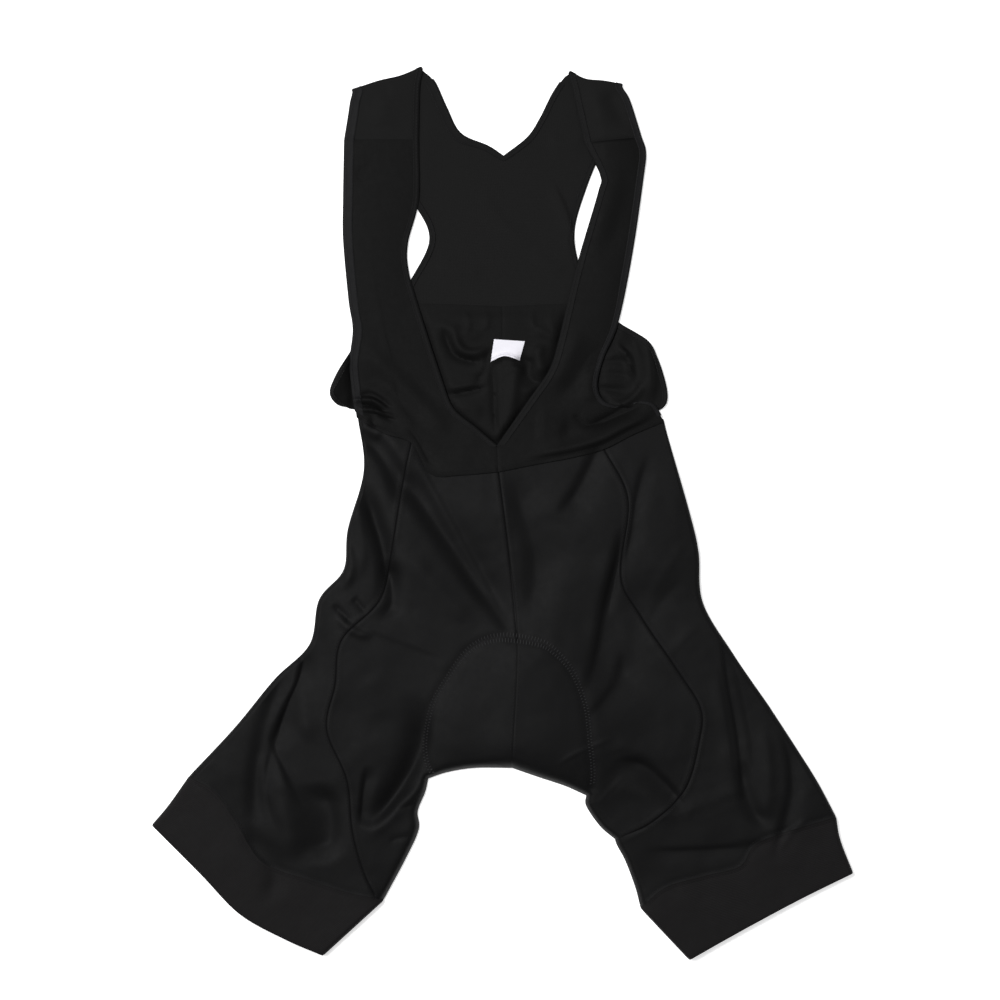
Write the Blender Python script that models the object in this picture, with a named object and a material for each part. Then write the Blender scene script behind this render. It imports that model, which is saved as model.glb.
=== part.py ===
"""Cycling bib shorts laid flat, front up, cut and sewn from thin stretch panels.

Frame: metres, +Z up from the surface they lie on, +Y towards the shoulders and +X towards the
right-hand leg as they are seen from above. The origin is the middle of the underside's box.

Each panel is a wall of cloth on a grid. In plan the grid is a patch between four seams or
edges. Its height is read from one height field for the upper layer, or one for the lower layer,
so panels that share a seam meet there. Side panels and gripper bands turn round their fold edge
in half an ellipse. All sizes below are in millimetres, and MM turns them into metres.
"""

import bpy
import bmesh
import numpy as np

MM = 0.001

# walls of cloth
KNIT = 1.2
YOKE_MESH = 1.0
GRIPPER = 1.6
HEM = 0.8
LABEL = 0.6

# gaps between pieces
SEAM_GAP = 0.3
LAYER_GAP = 0.35

# the height of the cloth's middle over the surface
FLOOR = KNIT / 2
BIB_LEVEL = 2.2
SHORTS_LEVEL = 11.0
SHORTS_START = 128.0
SHORTS_FULL = -8.0
EDGE_LEVEL = 2.2
BIB_LIFT = 2.1
PAD_RISE = 5.0

# turned edges and trim
SIDE_ROLL = 4.5
GRIPPER_ROLL = 3.0
SHOULDER_ROLL = 2.2
HEM_WIDTH = 8.5
ARM_HEM_WIDTH = 7.5
LAP = 3.0
CLOSED_TUCK = 1.5
TRIM_GAP = 0.5
PAD_GAP = 2.2
ROLL_STEPS = 4
SIDE_FADE = 6

# rows and columns of the grids
LEG_ROWS = 22
INNER_EDGE_ROWS = 4
LEG_COLUMNS = 7
FRONT_COLUMNS = 7
UNDER_COLUMNS = 2
BIB_ROWS = 18
BIB_COLUMNS = 5
YOKE_CENTRE_ROWS = 6
YOKE_NECK_ROWS = 5
FLAP_ROWS = 3
BACK_ARM_ROWS = 6
CENTRE_BACK_ROWS = (6, 10)
GRIPPER_ROWS = 3
PAD_ROWS = 8
PAD_COLUMNS = 7

# seams and edges in plan, (x, y), each from its upper end or from the outer side inwards
SIDE_SEAM_LEFT = ((-85, 67), (-93, 30), (-104, -36), (-115, -83), (-151, -121), (-157, -163),
                  (-165, -205), (-146, -252), (-141, -299), (-131, -337), (-120, -360))
SIDE_SEAM_RIGHT = ((94, 61), (118, 11), (111, -60), (129, -97), (164, -149), (186, -185),
                   (185, -215), (172, -260), (143, -290), (113, -306))
OUTER_LEFT = ((-136, 91), (-130, 39), (-145, -17), (-149, -55), (-172, -83), (-181, -125),
              (-214, -158), (-251, -203), (-294, -249))
OUTER_RIGHT = ((151, 87), (156, 67), (176, -3), (184, -39), (188, -86), (217, -135),
               (250, -183))
OUTER_RIGHT_LOW = ((250, -183), (276, -223), (296, -255), (313, -287))
CENTRE_FRONT = ((-4, 40), (5, -31), (14, -121), (9, -241))
CROTCH_LEFT = ((9, -241), (-26, -241), (-52, -245), (-70, -251))
CROTCH_RIGHT = ((9, -241), (32, -249), (59, -258), (79, -267))
INNER_LEG_LEFT = ((-70, -251), (-73, -264), (-80, -282), (-79, -299), (-91, -326), (-112, -365))
INNER_LEG_RIGHT = ((79, -267), (79, -277), (92, -296), (106, -308))
INNER_LEG_RIGHT_LOW = ((106, -308), (108, -314), (116, -329), (125, -353), (130, -372))
GRIPPER_SEAM_LEFT = ((-294, -249), (-270, -264), (-250, -292), (-226, -329), (-181, -346),
                     (-148, -357), (-120, -363))
GRIPPER_SEAM_LEFT_END = ((-120, -363), (-112, -365))
GRIPPER_SEAM_RIGHT = ((313, -287), (266, -301), (237, -313), (223, -333), (190, -342),
                      (153, -353), (130, -372))
GRIPPER_OUTER_LEFT = ((-294, -249), (-313, -276), (-329, -295))
GRIPPER_INNER_LEFT = ((-112, -365), (-134, -385), (-169, -417))
HEM_LEFT = ((-329, -295), (-284, -340), (-247, -378), (-204, -402), (-169, -417))
GRIPPER_OUTER_RIGHT = ((313, -287), (317, -309), (329, -340))
GRIPPER_INNER_RIGHT = ((130, -372), (143, -386), (176, -421))
HEM_RIGHT = ((329, -340), (280, -364), (233, -389), (176, -421))
WAIST_LEFT = ((-136, 91), (-110, 76), (-85, 67), (-67, 38), (-38, 37), (-4, 40))
WAIST_RIGHT = ((151, 87), (122, 75), (94, 61), (63, 53), (31, 47), (-4, 40))
BIB_OUTER_LEFT = ((-148, 350), (-149, 293), (-149, 255), (-144, 199), (-140, 171), (-143, 141),
                  (-141, 116), (-137, 92))
BIB_NECK_LEFT = ((-80, 350), (-80, 293), (-90, 252), (-89, 225), (-79, 189), (-58, 124),
                 (-47, 97), (-26, 79), (-5, 61))
BIB_OUTER_RIGHT = ((130, 352), (134, 338), (132, 316), (121, 241), (108, 178), (94, 144),
                   (88, 119), (94, 104), (110, 99), (127, 103), (141, 101), (151, 88))
BIB_NECK_RIGHT = ((78, 347), (93, 316), (91, 300), (75, 246), (65, 208), (54, 161), (45, 133),
                  (26, 105), (-5, 61))
BIB_CENTRE = ((-5, 61), (-4, 40))
SHOULDER_LEFT = ((-141, 397), (-117, 405), (-96, 410), (-77, 418))
SHOULDER_RIGHT = ((112, 402), (96, 405), (78, 407), (64, 414))
FLAP_OUTER_LEFT = ((-141, 397), (-144, 375), (-148, 350))
FLAP_NECK_LEFT = ((-77, 418), (-79, 396), (-80, 350))
FLAP_OUTER_RIGHT = ((112, 402), (120, 384), (130, 352))
FLAP_NECK_RIGHT = ((64, 414), (68, 392), (78, 347))
SHOULDER_SEAM_LEFT = ((-148, 350), (-80, 350))
SHOULDER_SEAM_RIGHT = ((130, 352), (78, 347))
YOKE_ARM_LEFT = ((-98, 196), (-86, 217), (-68, 255), (-80, 286), (-108, 321), (-134, 359),
                 (-141, 397))
YOKE_ARM_RIGHT = ((84, 196), (71, 233), (67, 265), (78, 304), (93, 340), (112, 373), (112, 402))
YOKE_CENTRE = ((0, 193), (1, 334))
YOKE_NECK_LEFT = ((1, 334), (-14, 344), (-40, 356), (-53, 380), (-65, 406), (-77, 418))
YOKE_NECK_RIGHT = ((1, 334), (24, 352), (36, 370), (47, 392), (58, 409), (64, 414))
YOKE_WAIST_LEFT = ((-98, 196), (-49, 195), (0, 193))
YOKE_WAIST_RIGHT = ((84, 196), (45, 195), (0, 193))
BACK_ARM_LEFT = ((-98, 196), (-120, 175), (-141, 152), (-157, 125), (-161, 110), (-153, 100),
                 (-138, 97), (-126, 95))
BACK_ARM_RIGHT = ((84, 196), (108, 178), (135, 161), (145, 144), (153, 119), (154, 104),
                  (149, 97), (141, 94))
CENTRE_BACK_HIGH = ((0, 193), (0, 90))
CENTRE_BACK_LOW = ((0, 90), (0, 20), (2, -83), (9, -241))
UNDER_LEFT = ((-126, 95), (-112, 40), (-120, -17), (-120, -60), (-132, -92), (-142, -128),
              (-174, -180), (-212, -246), (-251, -290))
UNDER_RIGHT = ((141, 94), (138, 60), (150, 0), (156, -42), (160, -92), (184, -146),
               (222, -216), (257, -303))

# the seat pad and the label
PAD_LEFT = ((-26, -126), (-54, -160), (-68, -196), (-63, -233))
PAD_RIGHT = ((31, -123), (56, -138), (77, -180), (76, -246))
PAD_TOP = ((-26, -126), (2, -119), (31, -123))
PAD_LOW = ((-63, -233), (-26, -231), (9, -231), (42, -240), (76, -246))
LABEL_CORNERS = ((-8, 162), (21, 160), (16, 142), (-11, 141))

# the largest folds: name, height (below 0 a trough), half width, path
UPPER_FOLDS = (
    ("left front trough", -5.5, 9, ((-92, 25), (-68, -22), (-40, -64), (-7, -97), (7, -110))),
    ("left front ridge", 3.0, 9, ((-82, 62), (-68, 34), (-40, -22), (-12, -64))),
    ("left hip arc", -3.5, 6, ((-129, 72), (-110, 53), (-99, 30), (-96, 6))),
    ("left side trough", -4.0, 7, ((-131, 22), (-123, -8), (-118, -46), (-120, -81))),
    ("right front trough", -3.0, 8, ((18, 20), (23, -27), (23, -83))),
    ("right hip crease", -2.5, 6, ((82, 50), (68, 25), (54, 3))),
    ("right side trough", -5.5, 9, ((115, -27), (101, -74), (89, -116), (76, -170))),
    ("left leg trough", -5.5, 8, ((-190, -146), (-206, -187), (-213, -217), (-190, -266))),
    ("left leg hollow", -4.0, 16, ((-195, -262), (-158, -295))),
    ("left outer trough", -3.0, 8, ((-212, -170), (-237, -252), (-237, -313), (-219, -340))),
    ("left leg ridge", 2.0, 8, ((-219, -196), (-224, -243), (-216, -290))),
    ("trough beside the pad", -6.0, 11, ((-76, -186), (-90, -208), (-106, -248), (-129, -290))),
    ("right leg trough", -4.0, 9, ((92, -234), (134, -241), (167, -257))),
    ("right leg line", -3.5, 7, ((210, -140), (221, -215), (225, -262), (239, -295))),
    ("right outer line", -2.0, 7, ((262, -219), (266, -271), (256, -323))),
    ("waist ridge", 2.0, 6, ((40, 53), (92, 66), (139, 98))),
    ("left bib fold", 1.6, 7, ((-132, 166), (-96, 140), (-68, 112), (-49, 91))),
)
LOWER_FOLDS = (
    ("centre back ridge", 1.8, 8, ((1, 128), (1, 105), (0, 80))),
    ("pleat right of the label", 1.8, 8, ((32, 146), (44, 130))),
    ("pleat left of the label", 1.6, 8, ((-52, 160), (-34, 140))),
    ("gathers over the label", 1.4, 7, ((-66, 182), (-20, 180), (40, 182))),
)

BLACK_KNIT = (0.0122, 0.0121, 0.0128)
BLACK_MESH = (0.0105, 0.0105, 0.0106)
BLACK_BAND = (0.0132, 0.0125, 0.0130)
BLACK_HEM = (0.0150, 0.0150, 0.0155)
PAD_GREY = (0.060, 0.060, 0.064)
LABEL_WHITE = (0.86, 0.85, 0.90)


def clear_scene():
    for old in list(bpy.data.objects):
        bpy.data.objects.remove(old, do_unlink=True)


def material(name, colour, roughness):
    made = bpy.data.materials.new(name)
    made.use_nodes = True
    shader = made.node_tree.nodes["Principled BSDF"]
    shader.inputs["Base Color"].default_value = (*colour, 1.0)
    shader.inputs["Roughness"].default_value = roughness
    shader.inputs["Metallic"].default_value = 0.0
    return made


# curves and patches in plan

def smooth(points, count):
    """count + 1 stations, evenly spaced, on a Catmull-Rom curve through the points."""
    p = np.array(points, float)
    p = np.vstack([2 * p[0] - p[1], p, 2 * p[-1] - p[-2]])
    t = np.linspace(0.0, 1.0, 12, endpoint=False)[:, None]
    spans = [
        0.5 * (2 * b + (c - a) * t + (2 * a - 5 * b + 4 * c - d) * t**2 + (3 * b - a - 3 * c + d) * t**3)
        for a, b, c, d in zip(p[:-3], p[1:-2], p[2:-1], p[3:])
    ]
    dense = np.vstack(spans + [p[-2:-1]])
    run = np.r_[0.0, np.cumsum(np.linalg.norm(np.diff(dense, axis=0), axis=1))]
    at = np.linspace(0.0, run[-1], count + 1)
    return np.column_stack([np.interp(at, run, dense[:, k]) for k in (0, 1)])


def joined(*stretches):
    """Stations along several (curve, count) stretches that follow each other."""
    rows = [smooth(*stretches[0])]
    rows += [smooth(*stretch)[1:] for stretch in stretches[1:]]
    return np.vstack(rows)


def square_to(edge, inside):
    """Unit vectors square to an edge's stations, on the side of the inside points."""
    along = np.gradient(edge, axis=0)
    along /= np.linalg.norm(along, axis=1, keepdims=True)
    across = np.column_stack([-along[:, 1], along[:, 0]])
    side = np.sign(np.sum(across * (inside - edge), axis=1, keepdims=True))
    return across * np.where(side == 0, 1, side)


def turning_in(edge, inside):
    """Directions in from a turned edge: square to it, but along the rows at its two ends, so that
    the turn ends in line with the seams there."""
    inward = square_to(edge, inside)
    inward[0] = unit(inside[0] - edge[0])
    inward[-1] = unit(inside[-1] - edge[-1])
    return inward


def unit(vector):
    return vector / np.linalg.norm(vector)


def patch(first, last, top, low, fade=1):
    """Plan grid [row, column] ruled between a first and a last column edge, and bent to the curves
    of its top and low rows by shares that fade away from them, faster where fade is higher."""
    top = np.vstack([first[:1], top[1:-1], last[:1]])
    low = np.vstack([first[-1:], low[1:-1], last[-1:]])
    v = np.linspace(0, 1, len(first))[:, None, None]
    u = np.linspace(0, 1, len(top))[None, :, None]
    ruled = (1 - u) * first[:, None] + u * last[:, None]
    return ruled + (1 - v)**fade * (top - ruled[0]) + v**fade * (low - ruled[-1])


def inset(plan, first=SEAM_GAP / 2, last=SEAM_GAP / 2, top=SEAM_GAP / 2, low=SEAM_GAP / 2):
    """The plan grid with its edges pulled in, so that pieces lie apart at their seams."""
    out = plan.copy()
    out[:, 0] += first * square_to(plan[:, 0], plan[:, 1])
    out[:, -1] += last * square_to(plan[:, -1], plan[:, -2])
    out[0] += top * square_to(plan[0], plan[1])
    out[-1] += low * square_to(plan[-1], plan[-2])
    return out


# heights

def distance_along(xy, path):
    """Distance from each point to a path, and how far along the path (0 to 1) its foot is."""
    path = np.array(path, float)
    lengths = np.linalg.norm(np.diff(path, axis=0), axis=1)
    starts = np.r_[0.0, np.cumsum(lengths)]
    best = np.full(xy.shape[:-1], np.inf)
    along = np.zeros(xy.shape[:-1])
    for a, b, length, start in zip(path[:-1], path[1:], lengths, starts):
        t = np.clip(((xy - a) @ (b - a)) / length**2, 0, 1)
        d = np.linalg.norm(xy - a - t[..., None] * (b - a), axis=-1)
        nearer = d < best
        best = np.where(nearer, d, best)
        along = np.where(nearer, (start + t * length) / starts[-1], along)
    return best, along


def folds(xy, table):
    """Sum of the folds: each is a bell across its path, deepest at the path's middle."""
    total = np.zeros(xy.shape[:-1])
    for _name, height, half_width, path in table:
        d, along = distance_along(xy, smooth(path, 8))
        total += height * np.exp(-((d / half_width) ** 2)) * (0.3 + 0.7 * np.sin(np.pi * along))
    return total


def ease(low, high, value):
    t = np.clip((value - low) / (high - low), 0, 1)
    return t * t * (3 - 2 * t)


CLOSED_EDGE = joined((INNER_LEG_LEFT[::-1], 10), (CROTCH_LEFT[::-1], 6), (CROTCH_RIGHT, 6),
                     (INNER_LEG_RIGHT, 6), (INNER_LEG_RIGHT_LOW, 6))
LEFT_FOLD_EDGE = smooth(OUTER_LEFT, 30)
RIGHT_FOLD_EDGE = joined((OUTER_RIGHT, 26), (OUTER_RIGHT_LOW, 6))


def upper(xy):
    """Height of the upper layer: low over the bib, rising to the shorts, pinched down to the
    closed edges of crotch and inner legs, eased at the outer folds, raised over the pad."""
    level = BIB_LEVEL + (SHORTS_LEVEL - BIB_LEVEL) * ease(SHORTS_START, SHORTS_FULL, xy[..., 1])
    closed, _ = distance_along(xy, CLOSED_EDGE)
    pinch = 1 - 0.45 * np.exp(-closed / 3.5) - 0.55 * np.exp(-closed / 26)
    left, _ = distance_along(xy, LEFT_FOLD_EDGE)
    right, _ = distance_along(xy, RIGHT_FOLD_EDGE)
    outer = 1 - 0.22 * np.exp(-np.minimum(left, right) / 22)
    height = EDGE_LEVEL + (level - EDGE_LEVEL) * pinch * outer
    middle = np.array([7.0, -185.0])
    reach = np.array([78.0, 70.0])
    pad = np.sum(((xy - middle) / reach) ** 2, axis=-1)
    height += PAD_RISE * np.exp(-(pad**2)) * (1 - np.exp(-closed / 14))
    open_cloth = ease(0, 14, closed)
    return np.maximum(height + folds(xy, UPPER_FOLDS) * open_cloth, EDGE_LEVEL)


def bib_height(xy):
    """The bib lies over the top of the shorts, clear of them by its own wall."""
    return upper(xy) + BIB_LIFT


def lower(xy):
    """Height of the lower layer: flat on the surface, but for the pleats inside the neck."""
    return FLOOR + folds(xy, LOWER_FOLDS) * ease(64, 76, xy[..., 1])


def raised(plan, height):
    """Plan grid with its heights."""
    return np.concatenate([plan, height(plan)[..., None]], axis=-1)


# cloth

def cloth(name, grids, wall, finish, ring=False):
    """One wall of cloth about grids [row, column] of middle points, joined where points match."""
    built = bmesh.new()
    for grid in grids:
        points = [[built.verts.new(point) for point in row] for row in (grid * MM).tolist()]
        columns = len(points[0])
        for here, below in zip(points[:-1], points[1:]):
            for column in range(columns if ring else columns - 1):
                after = (column + 1) % columns
                built.faces.new((here[column], below[column], below[after], here[after]))
    bmesh.ops.remove_doubles(built, verts=built.verts, dist=1e-6)
    bmesh.ops.recalc_face_normals(built, faces=built.faces)
    piece = linked(name, built, finish)
    solid = piece.modifiers.new("wall", "SOLIDIFY")
    solid.thickness = wall * MM
    solid.offset = 0.0
    return piece


def slab(name, low, high, finish):
    """A closed piece between a low and a high grid [row, column] of points."""
    built = bmesh.new()
    sheets = [[[built.verts.new(p) for p in row] for row in (grid * MM).tolist()] for grid in (low, high)]
    rows, columns = low.shape[:2]
    for j in range(rows - 1):
        for i in range(columns - 1):
            for sheet in sheets:
                built.faces.new((sheet[j][i], sheet[j + 1][i], sheet[j + 1][i + 1], sheet[j][i + 1]))
    rim = [(0, i) for i in range(columns)] + [(j, columns - 1) for j in range(1, rows)]
    rim += [(rows - 1, i) for i in range(columns - 2, -1, -1)] + [(j, 0) for j in range(rows - 2, 0, -1)]
    for (j, i), (next_j, next_i) in zip(rim, rim[1:] + rim[:1]):
        built.faces.new((sheets[0][j][i], sheets[0][next_j][next_i],
                         sheets[1][next_j][next_i], sheets[1][j][i]))
    bmesh.ops.recalc_face_normals(built, faces=built.faces)
    return linked(name, built, finish)


def linked(name, built, finish):
    mesh = bpy.data.meshes.new(name)
    built.to_mesh(mesh)
    built.free()
    mesh.shade_smooth()
    mesh.materials.append(finish)
    piece = bpy.data.objects.new(name, mesh)
    bpy.context.scene.collection.objects.link(piece)
    return piece


def turned(edge, inward, start, end, roll):
    """Columns of a turned edge [row, step]: half an ellipse from height start to height end,
    which reaches out as far as the edge and meets both layers a roll's width inside it."""
    angle = np.linspace(np.pi / 2, -np.pi / 2, ROLL_STEPS + 1)[1:-1]
    reach = roll * (1 - np.cos(angle))
    plan = edge[:, None] + reach[None, :, None] * inward[:, None]
    height = (start + end)[:, None] / 2 + (start - end)[:, None] / 2 * np.sin(angle)
    return np.concatenate([plan, height[..., None]], axis=-1)


def edge_rows(grid, from_last):
    """The grid's rows, each running inwards from the edge that a hem goes on."""
    return grid[:, ::-1] if from_last else grid


def strip_on(rows, width, wall, start=0.3):
    """Grid of a strip that lies on a panel along its edge: its points are the panel's own, at
    three distances square to the edge, moved out along the panel's normal."""
    edge = rows[:, 0]
    along = np.gradient(edge, axis=0)
    along /= np.linalg.norm(along, axis=1, keepdims=True)
    inward = rows[:, 1] - rows[:, 0]
    inward /= np.linalg.norm(inward, axis=1, keepdims=True)
    normal = np.cross(along, inward)
    sine = np.linalg.norm(normal, axis=1, keepdims=True)
    normal *= np.sign(normal[:, 2:]) / sine
    stretch = 1 / np.clip(sine[:, 0], 0.55, 1)
    columns = []
    for distance in np.linspace(start, width, 3):
        at = [point_in(row, distance * more) for row, more in zip(rows, stretch)]
        columns.append(np.array(at) + normal * (wall / 2 + TRIM_GAP + HEM / 2))
    return np.stack(columns, axis=1)


def point_in(row, distance):
    """The point at a distance along a row of points."""
    run = np.r_[0.0, np.cumsum(np.linalg.norm(np.diff(row, axis=0), axis=1))]
    return [np.interp(distance, run, row[:, k]) for k in range(3)]


# the panels: each returns its grid or grids of middle points

def front_panel(seam, centre, crotch, inner_leg, waist, rows):
    """A front of the shorts, from the side seam to the centre front and round the inner leg."""
    first = smooth(seam, LEG_ROWS)
    last = joined((centre, rows[0]), (crotch, rows[1]), (inner_leg, rows[2]))
    plan = patch(first, last, smooth(waist, FRONT_COLUMNS), smooth((first[-1], last[-1]), FRONT_COLUMNS))
    return raised(inset(plan), upper)


def side_panel(seam, edge, under, waist, gripper_seam):
    """A side: over the front, round the outer fold and a strip of the underside."""
    rows = len(seam) - 1
    top_row = smooth(waist, LEG_COLUMNS)
    inward = turning_in(edge, patch(seam, edge, top_row, gripper_seam[::-1])[:, -2])
    plan = patch(seam, edge + SIDE_ROLL * inward, top_row, gripper_seam[::-1], SIDE_FADE)
    top = raised(inset(plan, last=0), upper)
    back_edge = under_seam(under, gripper_seam, rows)
    strip = patch(plan[:, -1], back_edge, smooth((plan[0, -1], back_edge[0]), UNDER_COLUMNS),
                  gripper_seam[:UNDER_COLUMNS + 1])
    strip = inset(strip, first=0)
    flat = np.full(rows + 1, FLOOR)
    turn_edge = edge.copy()
    turn_edge[0] += SEAM_GAP / 2 * unit(edge[1] - edge[0])
    turn_edge[-1] += SEAM_GAP / 2 * unit(edge[-2] - edge[-1])
    fold = turned(turn_edge, inward, top[:, -1, 2], flat, SIDE_ROLL)
    below = np.concatenate([strip, np.full(strip.shape[:2] + (1,), FLOOR)], axis=-1)
    return np.concatenate([top, fold, below], axis=1)


def under_seam(under, gripper_seam, rows):
    """The seam on the underside, which ends at a station of the gripper's seam."""
    return smooth(under[:-1] + (tuple(gripper_seam[UNDER_COLUMNS]),), rows)


def back_panel(arm, under, gripper_seam, waist, closed_edges, rows):
    """A back of the shorts, flat but for the pleats inside the neck."""
    first = np.vstack([smooth(arm, BACK_ARM_ROWS), under_seam(under, gripper_seam, rows)[1:]])
    last = joined((CENTRE_BACK_HIGH, CENTRE_BACK_ROWS[0]), (CENTRE_BACK_LOW, CENTRE_BACK_ROWS[1]),
                  *closed_edges)
    low = gripper_seam[UNDER_COLUMNS:]
    plan = patch(first, last, smooth(waist, len(low) - 1), low)
    tucked = inset(plan)
    closed = slice(sum(CENTRE_BACK_ROWS) + 1, None)
    tucked[closed, -1] += CLOSED_TUCK * turning_in(plan[closed, -1], plan[closed, -2])
    return raised(tucked, lower)


def bib_panel(outer, neck, shoulder, waist):
    """A bib front with its strap; its low edge laps the top of the shorts."""
    first = smooth(outer, BIB_ROWS)
    last = joined((neck, BIB_ROWS - 1), (BIB_CENTRE, 1))
    low = smooth(waist, BIB_COLUMNS)
    low = low - LAP * square_to(low, first[-3] + 0 * low)
    first[-1] = low[0]
    last[-1] = low[-1]
    return raised(inset(patch(first, last, smooth(shoulder, BIB_COLUMNS), low), low=0), bib_height)


def yoke_half(arm, neck, waist, shoulder, flap_outer, flap_neck, shoulder_seam):
    """Half of the back yoke: up the back, over the shoulder and down to the shoulder seam."""
    rows = YOKE_CENTRE_ROWS + YOKE_NECK_ROWS
    fold_line = smooth(shoulder, BIB_COLUMNS)
    last = joined((YOKE_CENTRE, YOKE_CENTRE_ROWS), (neck, YOKE_NECK_ROWS))
    back = patch(smooth(arm, rows), last, smooth(waist, BIB_COLUMNS), fold_line)
    inward = square_to(fold_line, back[-2])
    back[-1] = fold_line + SHOULDER_ROLL * inward
    centre = back[0, -1] + (0, SEAM_GAP / 2)
    back = inset(back, first=0, last=0, low=0)
    back[0, -1] = centre
    back = raised(back, lower) - (0, 0, (KNIT - YOKE_MESH) / 2)
    flap = patch(smooth(flap_outer, FLAP_ROWS), smooth(flap_neck, FLAP_ROWS), fold_line,
                 smooth(shoulder_seam, BIB_COLUMNS))
    flap[0] = fold_line + SHOULDER_ROLL * inward
    flap = raised(inset(flap, first=0, last=0, top=0), bib_height)
    fold = turned(fold_line, inward, flap[0, :, 2], back[-1, :, 2], SHOULDER_ROLL)
    return back, np.concatenate([back, fold[:, ::-1].transpose(1, 0, 2), flap]), flap


def gripper_band(outer, inner, seam, hem):
    """A leg's gripper band, a flattened tube: over the top, round the inner fold, back along the
    underside and round the outer fold."""
    columns = len(seam) - 1
    outer_edge = smooth(outer, GRIPPER_ROWS)
    inner_edge = smooth(inner, GRIPPER_ROWS)
    plan = inset(patch(outer_edge, inner_edge, seam, smooth(hem, columns)), first=0, last=0, low=0)
    outer_edge, inner_edge = plan[:, 0].copy(), plan[:, -1].copy()
    outer_inward = turning_in(outer_edge, plan[:, 1])
    inner_inward = turning_in(inner_edge, plan[:, -2])
    plan[:, 0] += GRIPPER_ROLL * outer_inward
    plan[:, -1] += GRIPPER_ROLL * inner_inward
    flush = (GRIPPER - KNIT) / 2
    height = np.maximum(upper(plan) - flush, 2 * GRIPPER + 0.6)
    top = np.concatenate([plan, height[..., None]], axis=-1)
    flat = np.full(GRIPPER_ROWS + 1, GRIPPER / 2)
    low = np.concatenate([plan, np.full(height.shape + (1,), GRIPPER / 2)], axis=-1)
    inner_fold = turned(inner_edge, inner_inward, height[:, -1], flat, GRIPPER_ROLL)
    outer_fold = turned(outer_edge, outer_inward, height[:, 0], flat, GRIPPER_ROLL)
    return np.concatenate([top, inner_fold, low[:, ::-1], outer_fold[:, ::-1]], axis=1)


def neck_rows(halves):
    """Rows for the hem of the back neck: in from its edge on each half, and down at its middle."""
    left, right = halves
    notch = YOKE_CENTRE_ROWS
    middle = left[notch::-1, -1]
    short = len(middle)
    def inward(half, j):
        row = half[j, ::-1]
        return np.array([point_in(row, s) for s in np.linspace(0, 24, short)])
    down = [point_in(middle, s) for s in np.linspace(0, 24, short)]
    upper_rows = range(notch + 1, notch + YOKE_NECK_ROWS)
    rows = [inward(left, j) for j in reversed(upper_rows)] + [np.array(down)]
    return np.array(rows + [inward(right, j) for j in upper_rows])


def seat_pad(finish):
    """The folded pad, one rounded solid between the front and the back."""
    plan = patch(smooth(PAD_LEFT, PAD_ROWS), smooth(PAD_RIGHT, PAD_ROWS),
                 smooth(PAD_TOP, PAD_COLUMNS), smooth(PAD_LOW, PAD_COLUMNS))
    under = KNIT + LAYER_GAP
    closed, _ = distance_along(plan, CLOSED_EDGE)
    high = upper(plan) - KNIT / 2 - PAD_GAP * (1 + 1.6 * np.exp(-closed / 18))
    rim = np.ones(high.shape, bool)
    rim[1:-1, 1:-1] = False
    high = np.where(rim, np.minimum(high, under + 2.2), high)
    low_sheet = np.concatenate([plan, np.full(high.shape + (1,), under)], axis=-1)
    high_sheet = np.concatenate([plan, np.maximum(high, under + 1.0)[..., None]], axis=-1)
    slab("seat_pad", low_sheet, high_sheet, finish)


def care_label(finish):
    """A plain label on the inside of the back."""
    a, b, c, d = [np.array(corner, float) for corner in LABEL_CORNERS]
    plan = patch(smooth((a, d), 2), smooth((b, c), 2), smooth((a, b), 3), smooth((d, c), 3))
    grid = raised(plan, lower) + (0, 0, KNIT / 2 + TRIM_GAP + LABEL / 2)
    cloth("care_label", [grid], LABEL, finish)


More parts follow.
